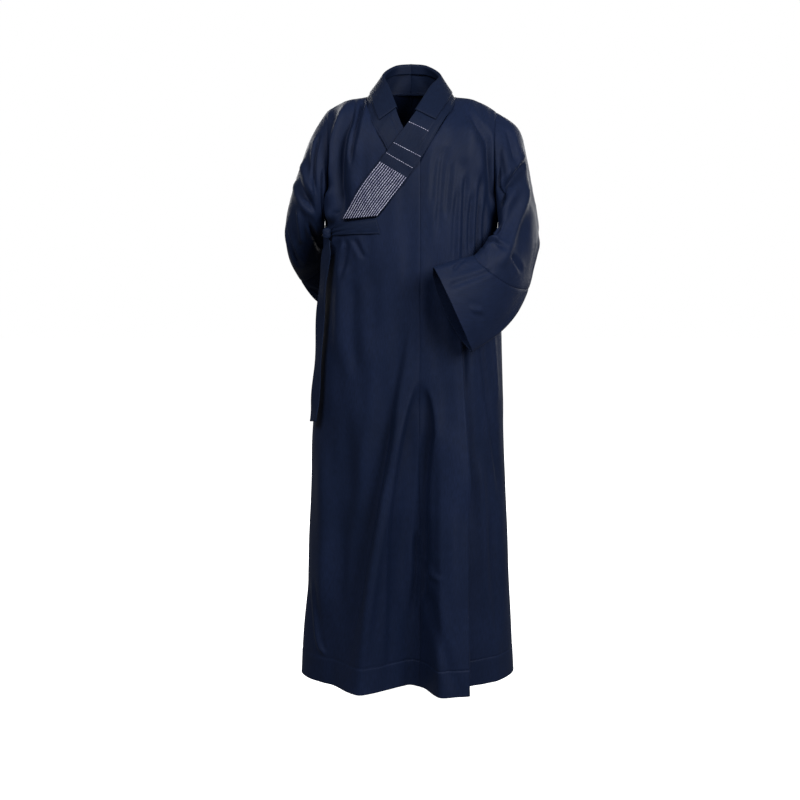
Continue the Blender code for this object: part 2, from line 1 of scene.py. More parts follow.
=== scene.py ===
"""A worn Buddhist monk robe in thin navy cloth, with sewn-on sleeve ends, a stitched collar and a side tie.

The sections follow the way the robe is made up: the body panels, the sleeves, the collar bands, the
embroidery on them and the tie. Sizes are in metres, +Z is up, the front faces -Y and the wearer's left
side is +X.
"""
import bpy
import numpy as np
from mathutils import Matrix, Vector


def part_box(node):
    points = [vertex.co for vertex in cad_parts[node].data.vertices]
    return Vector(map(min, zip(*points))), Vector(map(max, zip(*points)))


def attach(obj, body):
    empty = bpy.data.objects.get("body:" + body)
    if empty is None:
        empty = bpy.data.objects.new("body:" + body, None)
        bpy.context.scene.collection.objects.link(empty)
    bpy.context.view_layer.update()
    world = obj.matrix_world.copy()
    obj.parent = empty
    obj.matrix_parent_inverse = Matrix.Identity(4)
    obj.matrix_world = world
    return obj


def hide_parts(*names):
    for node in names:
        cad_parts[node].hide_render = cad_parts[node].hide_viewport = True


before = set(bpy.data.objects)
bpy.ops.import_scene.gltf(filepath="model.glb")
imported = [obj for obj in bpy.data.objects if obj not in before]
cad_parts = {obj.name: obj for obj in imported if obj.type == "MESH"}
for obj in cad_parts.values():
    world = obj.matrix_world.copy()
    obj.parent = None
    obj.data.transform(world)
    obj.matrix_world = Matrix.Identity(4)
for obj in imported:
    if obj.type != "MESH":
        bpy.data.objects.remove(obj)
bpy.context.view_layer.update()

# ---- Body panels ---------------------------------------------------------------------------------------
# Two backs, the left front, the right front with its narrow extension, and the wide overlap that crosses
# over it. They are cut from one thin piece-dyed cloth, closed with plain pressed seams and hung from the
# shoulders, so every panel is one soft sheet with long folds. The hem is turned up once and stitched.
CLOTH = 0.0016
HEM_HEIGHT = float(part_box("back_left")[0][2])
ARMPIT_HEIGHT = -0.27
CENTRE_SEAM_X = 0.018
SHOULDER_DROP = 0.13
ROUNDNESS = 2.3
PLEAT_X = 0.113
PLEAT_RUN = 0.013
OVERLAP_LIFT = 0.0065
SEAM_DEPTH = 0.0011
SEAM_HALF = 0.003
# Creases die out this far from a sewn edge, so that the neighbours meet there.
SEAM_FADE = 0.016
HEM_STITCH_DEPTH = 0.0012
HEM_STITCH_HALF = 0.0016
HEM_FOLD = 0.0005
HEM_FOLD_EDGE = 0.002

# Level sections of the body: height, middle, half width, depth in front, depth behind.
SECTIONS = np.array([
    (-1.325, -0.005, 0.246, 0.142, 0.165),
    (-1.07, -0.0045, 0.2305, 0.146, 0.15),
    (-0.76, -0.003, 0.2145, 0.15, 0.138),
    (-0.53, 0.0, 0.202, 0.153, 0.128),
    (-0.4, 0.0, 0.192, 0.152, 0.122),
    (-0.27, 0.0, 0.1945, 0.146, 0.12),
    (-0.15, 0.0, 0.212, 0.132, 0.122),
    (-0.045, 0.0, 0.222, 0.118, 0.115),
    (0.06, 0.0, 0.225, 0.108, 0.105),
])
UNDER_DEPTH = np.array([(-1.325, 0.092), (-0.9, 0.108), (-0.6, 0.128), (-0.42, 0.143),
                        (-0.33, 0.149), (-0.27, 0.146)])
SHOULDER_LINE = np.array([(0.0, 0.022), (0.05, 0.008), (0.096, -0.012), (0.14, -0.0205),
                          (0.187, -0.045), (0.24, -0.1)])

# Edges of the panels from the armpit to the shoulder line: distance from the middle, height.
ARMHOLE = np.array([(0.1945, -0.27), (0.1915, -0.258), (0.184, -0.225), (0.181, -0.18),
                    (0.1805, -0.135), (0.182, -0.095), (0.1845, -0.068), (0.1865, -0.051),
                    (0.187, -0.045)])
LEFT_NECK_EDGE = np.array([(0.018, -0.27), (0.018, -0.225), (0.018, -0.185), (0.018, -0.1465),
                           (0.0445, -0.105), (0.069, -0.068), (0.089, -0.036), (0.0945, -0.02),
                           (0.096, -0.012)])
RIGHT_NECK_EDGE = np.array([(0.018, -0.27), (-0.001, -0.235), (-0.0205, -0.195), (-0.04, -0.155),
                            (-0.059, -0.118), (-0.078, -0.08), (-0.093, -0.045), (-0.0985, -0.022),
                            (-0.0995, -0.0115)])
BACK_NECK_EDGE = np.array([(-0.0004, -0.27), (-0.0004, -0.22), (-0.0004, -0.17), (-0.0004, -0.12),
                           (-0.0004, -0.075), (-0.0004, -0.035), (-0.0004, -0.003), (0.055, -0.004),
                           (0.0975, -0.012)])
LOWER_HEIGHTS = np.array([-1.325, -1.265, -1.18, -1.09, -1.0, -0.91, -0.82, -0.74, -0.66,
                          -0.58, -0.5, -0.42, -0.34, -0.27])
ARMPIT_ROW = len(LOWER_HEIGHTS) - 1
UPPER_ROWS = len(ARMHOLE) - 1
HEM_SEAM_ROW = 1.0

# The overlap's slanting top edge under the collar, its free end round the side, and where its lift dies out.
OVERLAP_TOP = np.array([(-0.215, -0.318), (-0.178, -0.303), (-0.15, -0.291), (-0.11, -0.283),
                        (-0.075, -0.272), (-0.045, -0.235), (-0.012, -0.19), (0.018, -0.1465)])
OVERLAP_END = np.radians(-80.0)
OVERLAP_FADE = (0.11, 0.185)
SHOULDER_FADE = 0.08
UNDER_END_X = 0.1
UNDER_TOP = (-0.275, -0.43)

# The skirt's front: a lobe before each leg and the dip between, as height and how far, where or how wide.
LEFT_LOBE = np.array([(-1.325, 0.06), (-1.07, 0.045), (-0.8, 0.022), (-0.6, 0.0), (-0.27, 0.0)])
RIGHT_LOBE = np.array([(-1.325, 0.05), (-1.07, 0.038), (-0.8, 0.018), (-0.62, 0.0), (-0.27, 0.0)])
RIGHT_LOBE_X = np.array([(-1.325, -0.107), (-1.24, -0.1), (-1.04, -0.073), (-0.8, -0.03),
                         (-0.6, -0.01)])
RIGHT_LOBE_HALF = np.array([(-1.325, 0.04), (-0.8, 0.026), (-0.6, 0.022)])
DIP = np.array([(-1.325, 0.03), (-1.07, 0.024), (-0.8, 0.012), (-0.64, 0.0), (-0.27, 0.0)])
DIP_X = np.array([(-1.325, -0.006), (-0.9, 0.008), (-0.64, 0.02)])
DIP_HALF = 0.03
LEFT_LOBE_START = (0.026, 0.06)
BACK_LOBE = np.array([(-1.325, 0.02), (-0.9, 0.012), (-0.5, 0.003), (-0.27, 0.0)])
BACK_LOBE_HALF = 0.035

# Creases laid one by one: how far out (+) or in (-), the width on the west and on the east side of the path,
# and the path itself in x and z, from its top down.
CHEST_CREASES = [
    # Right breast: two deep folds from the neck, the long one down to the tie, and the pouch above the knot.
    (-0.015, 0.0065, 0.013, [(-0.114, -0.012), (-0.134, -0.059), (-0.148, -0.095), (-0.155, -0.135),
                               (-0.157, -0.189), (-0.154, -0.236), (-0.149, -0.29)]),
    (0.008, 0.01, 0.008, [(-0.136, -0.018), (-0.154, -0.062), (-0.169, -0.11), (-0.174, -0.16),
                              (-0.174, -0.21)]),
    (-0.009, 0.005, 0.006, [(-0.103, -0.013), (-0.112, -0.045), (-0.126, -0.11), (-0.132, -0.17)]),
    (0.0035, 0.014, 0.014, [(-0.118, -0.1), (-0.124, -0.16), (-0.122, -0.225)]),
    (0.012, 0.011, 0.014, [(-0.176, -0.205), (-0.18, -0.235), (-0.176, -0.264), (-0.163, -0.29)]),
    (-0.0065, 0.0055, 0.005, [(-0.158, -0.256), (-0.164, -0.276), (-0.176, -0.296)]),
    # Left breast: the long fold from the neck to the armpit and two short ones by the armhole.
    (-0.0105, 0.012, 0.006, [(0.106, -0.014), (0.134, -0.063), (0.16, -0.099), (0.17, -0.127),
                               (0.171, -0.174), (0.172, -0.236), (0.172, -0.3)]),
    (0.005, 0.02, 0.012, [(0.112, -0.052), (0.134, -0.092), (0.144, -0.14), (0.146, -0.2)]),
    (-0.0035, 0.005, 0.005, [(0.152, -0.066), (0.17, -0.1), (0.178, -0.135)]),
    # Pleats that the pull of the arm leaves below the armpit.
    (-0.003, 0.006, 0.006, [(0.1, -0.205), (0.092, -0.27), (0.088, -0.39)]),
    (-0.0048, 0.005, 0.007, [(0.117, -0.17), (0.11, -0.25), (0.106, -0.41)]),
    (-0.0042, 0.005, 0.005, [(0.13, -0.215), (0.124, -0.275), (0.122, -0.37)]),
    (-0.0058, 0.0045, 0.0065, [(0.15, -0.18), (0.141, -0.255), (0.138, -0.42)]),
    (-0.005, 0.005, 0.005, [(0.163, -0.225), (0.156, -0.285), (0.154, -0.39)]),
    # Fine folds that fall from the collar's seam.
    (-0.0028, 0.006, 0.006, [(0.058, -0.125), (0.048, -0.17), (0.042, -0.27)]),
    (-0.0038, 0.006, 0.007, [(0.073, -0.112), (0.062, -0.18), (0.052, -0.33)]),
    (-0.0028, 0.0055, 0.0055, [(0.084, -0.15), (0.078, -0.2), (0.072, -0.28)]),
    (0.003, 0.02, 0.022, [(0.108, -0.07), (0.11, -0.115), (0.106, -0.165)]),
]
SKIRT_CREASES = [
    # The inverted V below the centre seam: two steep legs with a broad hollow between them.
    (-0.008, 0.0055, 0.024, [(0.018, -0.622), (0.004, -0.668), (-0.008, -0.724), (-0.024, -0.829),
                               (-0.036, -0.96), (-0.044, -1.09), (-0.05, -1.33)]),
    (-0.009, 0.017, 0.0045, [(0.019, -0.624), (0.035, -0.668), (0.042, -0.735), (0.036, -0.78),
                               (0.031, -0.86), (0.031, -1.054), (0.02, -1.15), (0.018, -1.34)]),
    (0.0035, 0.009, 0.007, [(0.022, -0.69), (0.012, -0.82), (0.002, -0.96), (-0.006, -1.12)]),
    (-0.0075, 0.006, 0.006, [(0.01, -0.955), (0.01, -1.02), (0.008, -1.09), (0.0, -1.19)]),
    # Left of it a long bright ridge beside a valley, and the broad shade before the right leg.
    (0.01, 0.011, 0.01, [(-0.006, -0.64), (-0.028, -0.74), (-0.044, -0.83), (-0.06, -0.93),
                              (-0.077, -1.048), (-0.093, -1.17), (-0.106, -1.33)]),
    (-0.0085, 0.024, 0.008, [(0.006, -0.4), (-0.022, -0.56), (-0.044, -0.68), (-0.064, -0.81),
                               (-0.086, -0.95), (-0.106, -1.07), (-0.124, -1.18), (-0.138, -1.3)]),
    (0.005, 0.024, 0.024, [(-0.07, -0.5), (-0.096, -0.7), (-0.112, -0.88)]),
    (-0.007, 0.026, 0.016, [(-0.118, -0.7), (-0.14, -0.86), (-0.156, -1.02), (-0.166, -1.2)]),
    (0.006, 0.016, 0.015, [(-0.186, -0.76), (-0.194, -0.98), (-0.196, -1.2)]),
    (0.0045, 0.005, 0.005, [(-0.222, -1.08), (-0.216, -1.16), (-0.206, -1.235), (-0.186, -1.262)]),
    # The left leg's panel with its crisp pleat edge, and the slack cloth behind that edge.
    (0.0055, 0.02, 0.018, [(0.079, -0.7), (0.083, -0.9), (0.086, -1.22)]),
    (0.01, 0.03, 0.0045, [(0.103, -0.47), (0.106, -0.62), (0.11, -0.778), (0.113, -0.94)]),
    (-0.006, 0.004, 0.014, [(0.111, -0.48), (0.115, -0.64), (0.12, -0.8), (0.126, -0.98)]),
    (-0.005, 0.008, 0.01, [(0.03, -1.07), (0.046, -1.15), (0.066, -1.23), (0.082, -1.32)]),
    (0.0035, 0.006, 0.006, [(0.03, -1.02), (0.042, -1.052), (0.06, -1.062)]),
    (-0.0045, 0.005, 0.008, [(0.146, -0.5), (0.155, -0.58), (0.17, -0.69), (0.187, -0.8),
                               (0.203, -0.92)]),
    (0.004, 0.005, 0.006, [(0.176, -0.48), (0.184, -0.58), (0.192, -0.7)]),
    (0.004, 0.011, 0.011, [(0.15, -0.78), (0.16, -0.96), (0.168, -1.18)]),
    (-0.004, 0.01, 0.01, [(0.178, -0.9), (0.19, -1.08), (0.2, -1.26)]),
    # Short creases that the tie draws into the cloth below it.
    (-0.0045, 0.005, 0.006, [(-0.15, -0.318), (-0.163, -0.346), (-0.176, -0.392)]),
    (-0.0038, 0.0045, 0.0055, [(-0.138, -0.318), (-0.14, -0.35), (-0.15, -0.42)]),
    (-0.0034, 0.005, 0.005, [(-0.122, -0.316), (-0.112, -0.336), (-0.1, -0.362)]),
    (0.0055, 0.015, 0.015, [(-0.14, -0.36), (-0.152, -0.46), (-0.158, -0.6)]),
    (-0.005, 0.012, 0.014, [(-0.12, -0.4), (-0.128, -0.5), (-0.124, -0.62)]),
]
BACK_CREASES = [
    (-0.0055, 0.01, 0.008, [(0.098, -0.04), (0.112, -0.16), (0.118, -0.3), (0.108, -0.48)]),
    (-0.005, 0.008, 0.01, [(-0.104, -0.04), (-0.116, -0.15), (-0.112, -0.28), (-0.096, -0.42)]),
    (0.0045, 0.012, 0.012, [(0.134, -0.09), (0.146, -0.22), (0.142, -0.38), (0.128, -0.54)]),
    (0.0045, 0.012, 0.012, [(-0.136, -0.09), (-0.148, -0.22), (-0.14, -0.38)]),
    (-0.005, 0.006, 0.006, [(0.17, -0.2), (0.16, -0.3), (0.146, -0.44)]),
    (-0.005, 0.006, 0.006, [(-0.17, -0.2), (-0.158, -0.3), (-0.14, -0.4)]),
    (-0.004, 0.007, 0.007, [(0.048, -0.12), (0.056, -0.26), (0.05, -0.44)]),
    (-0.004, 0.007, 0.007, [(-0.052, -0.14), (-0.058, -0.26), (-0.044, -0.4)]),
    (-0.009, 0.011, 0.009, [(0.04, -0.56), (0.05, -0.8), (0.062, -1.08), (0.066, -1.32)]),
    (-0.008, 0.009, 0.012, [(-0.046, -0.54), (-0.06, -0.78), (-0.07, -1.06), (-0.074, -1.32)]),
    (0.008, 0.015, 0.015, [(0.086, -0.58), (0.096, -0.86), (0.106, -1.32)]),
    (0.008, 0.015, 0.015, [(-0.092, -0.56), (-0.108, -0.86), (-0.118, -1.32)]),
    (-0.007, 0.011, 0.011, [(0.142, -0.54), (0.158, -0.82), (0.166, -1.32)]),
    (-0.007, 0.011, 0.011, [(-0.146, -0.52), (-0.16, -0.82), (-0.172, -1.32)]),
    (0.006, 0.012, 0.012, [(0.186, -0.7), (0.196, -0.98), (0.204, -1.32)]),
    (0.006, 0.012, 0.012, [(-0.186, -0.7), (-0.198, -0.98), (-0.208, -1.32)]),
    (0.005, 0.013, 0.013, [(0.01, -0.62), (0.008, -0.9), (0.012, -1.32)]),
]
# Long slow waves that no cloth is free of: height, waves across, waves down and phase.
DRIFT = [(0.0011, 9.0, 1.1, 0.4), (0.0008, 15.0, -1.6, 2.1), (0.0006, 23.0, 2.3, 4.4),
         (0.0005, 6.0, 4.5, 1.2), (0.0003, 34.0, -4.0, 3.3)]


def smooth(knots, values, at):
    """Cubic curve through the values, its slope at each knot taken from the neighbours."""
    knots = np.asarray(knots, float)
    values = np.asarray(values, float)
    at = np.asarray(at, float)
    slopes = np.gradient(values, knots, axis=0)
    i = np.clip(np.searchsorted(knots, at, side="right") - 1, 0, len(knots) - 2)
    width = knots[i + 1] - knots[i]
    u = np.clip((at - knots[i]) / width, 0.0, 1.0)
    extra = (1,) * (values.ndim - 1)
    width = width.reshape(width.shape + extra)
    u = u.reshape(u.shape + extra)
    rise = u * u * (3.0 - 2.0 * u)
    start = u * (1.0 - u) ** 2
    end = u * u * (u - 1.0)
    return values[i] * (1.0 - rise) + values[i + 1] * rise + width * (slopes[i] * start + slopes[i + 1] * end)


def ease(x, low, high):
    """Smooth step 3u^2 - 2u^3 with u going from 0 at low to 1 at high."""
    u = np.clip((np.asarray(x, float) - low) / (high - low), 0.0, 1.0)
    return u * u * (3.0 - 2.0 * u)


def bump(x, half_width):
    """Soft ridge exp(-(x / half_width)^2)."""
    return np.exp(-(x / half_width) ** 2)


def unit(vectors):
    """The vectors at length 1."""
    return vectors / np.maximum(np.linalg.norm(vectors, axis=-1, keepdims=True), 1e-9)


def by_height(table, z):
    """Value at height z from a table of heights and values."""
    return smooth(table[:, 0], table[:, 1], z)


def section(z):
    """Middle, half width, front depth and back depth of the body at height z."""
    values = smooth(SECTIONS[:, 0], SECTIONS[:, 1:], z)
    return values[..., 0], values[..., 1], values[..., 2], values[..., 3]


def shoulder_height(x):
    """Height of the shoulder line at a distance x from the middle."""
    return smooth(SHOULDER_LINE[:, 0], SHOULDER_LINE[:, 1], np.abs(x))


def body_point(x, z, face, lift, depth=None):
    """Point of the body: a superellipse |x/w|^n + |y/d|^n = 1 at each level, rounded over at the shoulder.

    face is -1 in front and 1 behind; lift moves the point level, square to the section.
    """
    middle, half_width, front, back = section(z)
    if depth is None:
        depth = front if face < 0 else back
    across = np.clip(np.abs(x - middle) / half_width, 0.0, 1.0)
    along = np.maximum(1.0 - across ** ROUNDNESS, 0.0)
    drop = np.clip((shoulder_height(x) - z) / SHOULDER_DROP, 0.0, 1.0)
    rounding = np.sqrt(1.0 - (1.0 - drop) ** 2)
    y = face * depth * along ** (1.0 / ROUNDNESS) * rounding
    square = (ROUNDNESS - 1.0) / ROUNDNESS
    nx = np.sign(x - middle) * across ** (ROUNDNESS - 1.0) / half_width
    ny = face * along ** square / depth
    size = np.hypot(nx, ny)
    return np.stack([x + lift * nx / size, y + lift * ny / size, z + 0.0 * x], axis=-1)


def outer_front(x, z):
    """Outer front: the section, plus a lobe before each leg, less the dip between, plus the lift."""
    step = 1.0 - ease(x, PLEAT_X, PLEAT_X + PLEAT_RUN)
    left_lobe = by_height(LEFT_LOBE, z) * ease(x, *LEFT_LOBE_START) * step
    from_lobe = x - by_height(RIGHT_LOBE_X, z)
    right_lobe = by_height(RIGHT_LOBE, z) * bump(from_lobe, by_height(RIGHT_LOBE_HALF, z))
    dip = by_height(DIP, z) * bump(x - by_height(DIP_X, z), DIP_HALF)
    below = ease(shoulder_height(x) - z, 0.0, SHOULDER_FADE)
    lift = OVERLAP_LIFT * (1.0 - ease(x, *OVERLAP_FADE)) * below
    return body_point(x, z, -1, left_lobe + right_lobe - dip + lift)


def under_front(x, z):
    """Layer below the overlap: on the section at the chest, plain and further in below it."""
    return body_point(x, z, -1, 0.0, np.where(z > ARMPIT_HEIGHT, section(z)[2], by_height(UNDER_DEPTH, z)))


def back_surface(x, z):
    """Back: the section plus soft lobes that grow from the seat to the hem, with a dip between them."""
    lobes = bump(x - 0.105, BACK_LOBE_HALF) + bump(x + 0.115, BACK_LOBE_HALF) - 0.6 * bump(x, 0.04)
    return body_point(x, z, 1, by_height(BACK_LOBE, z) * lobes)


def angle_of(x, middle, half_width):
    """Angle on the section at which x lies, 0 in the middle and a right angle at the side."""
    offset = (x - middle) / half_width
    return np.sign(offset) * np.arcsin(np.clip(np.abs(offset), 0.0, 1.0) ** (ROUNDNESS / 2.0))


def across_at(angle, middle, half_width):
    """The inverse of angle_of."""
    sine = np.sin(angle)
    return middle + half_width * np.sign(sine) * np.abs(sine) ** (2.0 / ROUNDNESS)


def panel_plan(inner_edge, side, rows, columns):
    """x and z of a body panel, by row from the hem to the shoulder and by part from its inner edge out.

    Up to the armpit a row is level. Above it the rows turn over into lines that keep their share of the
    drop below the shoulder line, so that the last row lies on that line.
    """
    heights = smooth(np.arange(ARMPIT_ROW + 1), LOWER_HEIGHTS, rows)
    upper = np.clip(rows - ARMPIT_ROW, 0.0, UPPER_ROWS)
    above = rows > ARMPIT_ROW
    steps = np.arange(UPPER_ROWS + 1)
    middle, half_width, _, _ = section(heights)
    inner = smooth(steps, inner_edge, upper)
    outer = smooth(steps, ARMHOLE, upper)
    inner_x = inner[:, 0]
    inner_z = np.where(above, inner[:, 1], heights)
    outer_x = np.where(above, side * outer[:, 0], middle + side * half_width)
    outer_z = np.where(above, outer[:, 1], heights)
    inner_drop = np.maximum(shoulder_height(inner_x) - inner_z, 0.0)
    outer_drop = np.maximum(shoulder_height(outer_x) - outer_z, 0.0)
    inner_drop[-1] = 0.0
    outer_drop[-1] = 0.0
    bend = ease(upper / UPPER_ROWS, 0.0, 1.0)[:, None]
    middle, half_width, _, _ = section(0.5 * (inner_z + outer_z))
    start = angle_of(inner_x, middle, half_width)[:, None]
    end = side * 0.5 * np.pi
    start_x = across_at(start, middle[:, None], half_width[:, None])
    end_x = middle[:, None] + side * half_width[:, None]
    raw = across_at(start + (end - start) * columns, middle[:, None], half_width[:, None])
    part = (raw - start_x) / (end_x - start_x)
    x = inner_x[:, None] + (outer_x - inner_x)[:, None] * part
    level = inner_z[:, None] + (outer_z - inner_z)[:, None] * part
    draped = shoulder_height(x) - (inner_drop[:, None] + (outer_drop - inner_drop)[:, None] * part)
    return x, level * (1.0 - bend) + draped * bend


def overlap_plan(rows, columns):
    """x and z of the overlap: from the centre seam round to its free end, up to its slanting top edge."""
    heights = np.concatenate([LOWER_HEIGHTS, LEFT_NECK_EDGE[1:4, 1]])
    levels = smooth(np.arange(len(heights)), heights, rows)
    middle, half_width, _, _ = section(-0.25)
    start = angle_of(CENTRE_SEAM_X, middle, half_width)
    top = smooth(OVERLAP_TOP[:, 0], OVERLAP_TOP[:, 1],
                 across_at(start + (OVERLAP_END - start) * columns, middle, half_width))
    z = HEM_HEIGHT + np.outer((levels - HEM_HEIGHT) / (heights[-1] - HEM_HEIGHT), top - HEM_HEIGHT)
    middle, half_width, _, _ = section(z)
    start = angle_of(CENTRE_SEAM_X, middle, half_width)
    return across_at(start + (OVERLAP_END - start) * columns, middle, half_width), z


def crease(x, z, depth, west, east, path):
    """Height of one crease over cloth laid out flat in x and z.

    With s the distance from a smooth curve through the path, w the width on that side and t the place along
    it, the height is depth * (exp(-(s/w)^2) - lip * exp(-((|s|-2w)/(1.2w))^2)), faded in and out at the
    path's ends by smooth steps of t. The lip is lower on the wider side.
    """
    path = np.array(path)
    curve = smooth(np.arange(len(path)), path, np.linspace(0.0, len(path) - 1.0, 8 * len(path)))
    reach = 4.0 * max(west, east)
    low = curve.min(axis=0) - reach
    high = curve.max(axis=0) + reach
    near = (x > low[0]) & (x < high[0]) & (z > low[1]) & (z < high[1])
    points = np.stack([x[near], z[near]], axis=-1)[:, None, :]
    run = curve[1:] - curve[:-1]
    offset = points - curve[:-1]
    along = np.clip(np.sum(offset * run, axis=-1) / np.sum(run * run, axis=-1), 0.0, 1.0)
    gap = offset - along[..., None] * run
    distance = np.linalg.norm(gap, axis=-1)
    best = np.argmin(distance, axis=1)
    pick = np.arange(len(best))
    distance = distance[pick, best]
    side = run[best, 0] * offset[pick, best, 1] - run[best, 1] * offset[pick, best, 0]
    t = (best + along[pick, best]) / len(run)
    width = np.where(side > 0.0, east, west)
    lip = 0.35 * min(west, east) / width
    profile = bump(distance, width) - lip * bump(distance - 2.0 * width, 1.2 * width)
    height = np.zeros_like(x)
    height[near] = depth * profile * ease(t, 0.0, 0.22) * (1.0 - ease(t, 0.78, 1.0))
    return height


def creased(x, z, creases):
    """All the creases together, on slow waves sin(2 pi (a x + b z) + phase)."""
    height = sum(size * np.sin(2.0 * np.pi * (a * x + b * z) + phase) for size, a, b, phase in DRIFT)
    for depth, west, east, path in creases:
        height = height + crease(x, z, depth, west, east, path)
    return height


def arc_lengths(grid):
    """Lengths along the grid's rows from its first column, and along its columns from its first row."""
    across = np.linalg.norm(np.diff(grid, axis=1, prepend=grid[:, :1]), axis=-1).cumsum(axis=1)
    along = np.linalg.norm(np.diff(grid, axis=0, prepend=grid[:1]), axis=-1).cumsum(axis=0)
    return across, along


def grid_normals(grid, hint, around=False):
    """Unit normals, the cross product of the differences along rows and columns, on the side of hint."""
    across = np.roll(grid, -1, axis=1) - np.roll(grid, 1, axis=1) if around else np.gradient(grid, axis=1)
    normals = unit(np.cross(across, np.gradient(grid, axis=0)))
    return normals * np.sign(np.sum(normals * hint))


def spaced(count, edge=0.012):
    """Parts from 0 to 1: evenly spaced, with closer ones at both ends for the seams."""
    ends = edge * np.array([0.0, 0.25, 0.5])
    return np.concatenate([ends, np.linspace(edge, 1.0 - edge, count), 1.0 - ends[::-1]])


def panel_rows(count, upper_count):
    """Rows from the hem to the shoulder: close ones at the hem, at its seam and towards the shoulder."""
    low = np.concatenate([[0.0, 0.02, 0.05], np.linspace(0.1, 0.9, 12),
                          HEM_SEAM_ROW + np.array([-0.06, -0.04, -0.02, 0.0, 0.02, 0.04, 0.06]),
                          np.linspace(1.1, ARMPIT_ROW, count)])
    high = ARMPIT_ROW + UPPER_ROWS * (1.0 - (1.0 - np.linspace(0.0, 1.0, upper_count)[1:]) ** 1.7)
    return np.concatenate([low, high])


def linear(hex_colour):
    """An sRGB hex colour as linear red, green, blue and alpha."""
    srgb = np.array([int(hex_colour[i:i + 2], 16) for i in (1, 3, 5)]) / 255.0
    return (*np.where(srgb < 0.04045, srgb / 12.92, ((srgb + 0.055) / 1.055) ** 2.4), 1.0)


def add_node(material, kind, inputs=(), **settings):
    """Add a node of a kind with its settings, and set or link its inputs by name or number."""
    node = material.node_tree.nodes.new("ShaderNode" + kind)
    for name, value in settings.items():
        setattr(node, name, value)
    for socket, value in dict(inputs).items():
        if isinstance(value, bpy.types.NodeSocket):
            material.node_tree.links.new(value, node.inputs[socket])
        else:
            node.inputs[socket].default_value = value
    return node


def woven_cloth(name, deep, light, roughness, thread):
    """Thin piece-dyed polyester and cotton in plain weave.

    Its smooth yarns give a faint satin bloom, slightly uneven dye and the fine cross ribs of the weave.
    The real yarns lie 0.4 mm apart. They are drawn wider, by thread, so that a close view still shows them.
    """
    material = bpy.data.materials.new(name)
    material.use_nodes = True
    shader = material.node_tree.nodes["Principled BSDF"]
    spot = add_node(material, "TexCoord")
    weave = []
    for direction in ("X", "Y"):
        ribs = add_node(material, "TexWave", {"Vector": spot.outputs["UV"], "Scale": 0.314 / thread,
                                              "Distortion": 0.6, "Detail": 1.0, "Detail Scale": 2.0},
                        wave_type="BANDS", bands_direction=direction, wave_profile="SIN")
        weave.append(ribs.outputs["Fac"])
    crossing = add_node(material, "Math", {0: weave[0], 1: weave[1]}, operation="MULTIPLY")
    slub_place = add_node(material, "Mapping", {"Vector": spot.outputs["UV"], "Scale": (420.0, 60.0, 1.0)})
    slub = add_node(material, "TexNoise", {"Vector": slub_place.outputs["Vector"], "Scale": 1.0,
                                           "Detail": 3.0})
    dye = add_node(material, "TexNoise", {"Vector": spot.outputs["Object"], "Scale": 5.0, "Detail": 4.0,
                                          "Roughness": 0.6})
    mixed = add_node(material, "Math", {0: dye.outputs["Fac"], 1: slub.outputs["Fac"]}, operation="MULTIPLY")
    shade = add_node(material, "ValToRGB", {"Fac": mixed.outputs[0]})
    shade.color_ramp.elements[0].position = 0.12
    shade.color_ramp.elements[0].color = linear(deep)
    shade.color_ramp.elements[1].position = 0.4
    shade.color_ramp.elements[1].color = linear(light)
    gloss = add_node(material, "MapRange", {"Value": dye.outputs["Fac"], "From Min": 0.3, "From Max": 0.7,
                                            "To Min": roughness - 0.05, "To Max": roughness + 0.05})
    relief = add_node(material, "Bump", {"Height": crossing.outputs[0], "Strength": 0.22, "Distance": 0.0003})
    wrinkles = add_node(material, "TexNoise", {"Vector": spot.outputs["Object"], "Scale": 42.0,
                                               "Detail": 3.0, "Roughness": 0.55})
    crumple = add_node(material, "Bump", {"Height": wrinkles.outputs["Fac"], "Strength": 0.12,
                                          "Distance": 0.003, "Normal": relief.outputs["Normal"]})
    links = material.node_tree.links
    links.new(shade.outputs["Color"], shader.inputs["Base Color"])
    links.new(gloss.outputs["Result"], shader.inputs["Roughness"])
    links.new(crumple.outputs["Normal"], shader.inputs["Normal"])
    shader.inputs["Specular IOR Level"].default_value = 0.08
    shader.inputs["Sheen Weight"].default_value = 0.015
    shader.inputs["Sheen Roughness"].default_value = 0.45
    shader.inputs["Sheen Tint"].default_value = linear("#8fa2cf")
    return material


def make_mesh(name, points, faces, uvs, material):
    """A smooth-shaded object through the points, with UVs by face corner in metres."""
    mesh = bpy.data.meshes.new(name)
    mesh.from_pydata(points.tolist(), [], faces.tolist())
    layer = mesh.uv_layers.new(name="cloth")
    layer.data.foreach_set("uv", uvs.reshape(-1).astype(np.float32))
    mesh.materials.append(material)
    mesh.shade_smooth()
    piece = bpy.data.objects.new(name, mesh)
    bpy.context.scene.collection.objects.link(piece)
    return piece


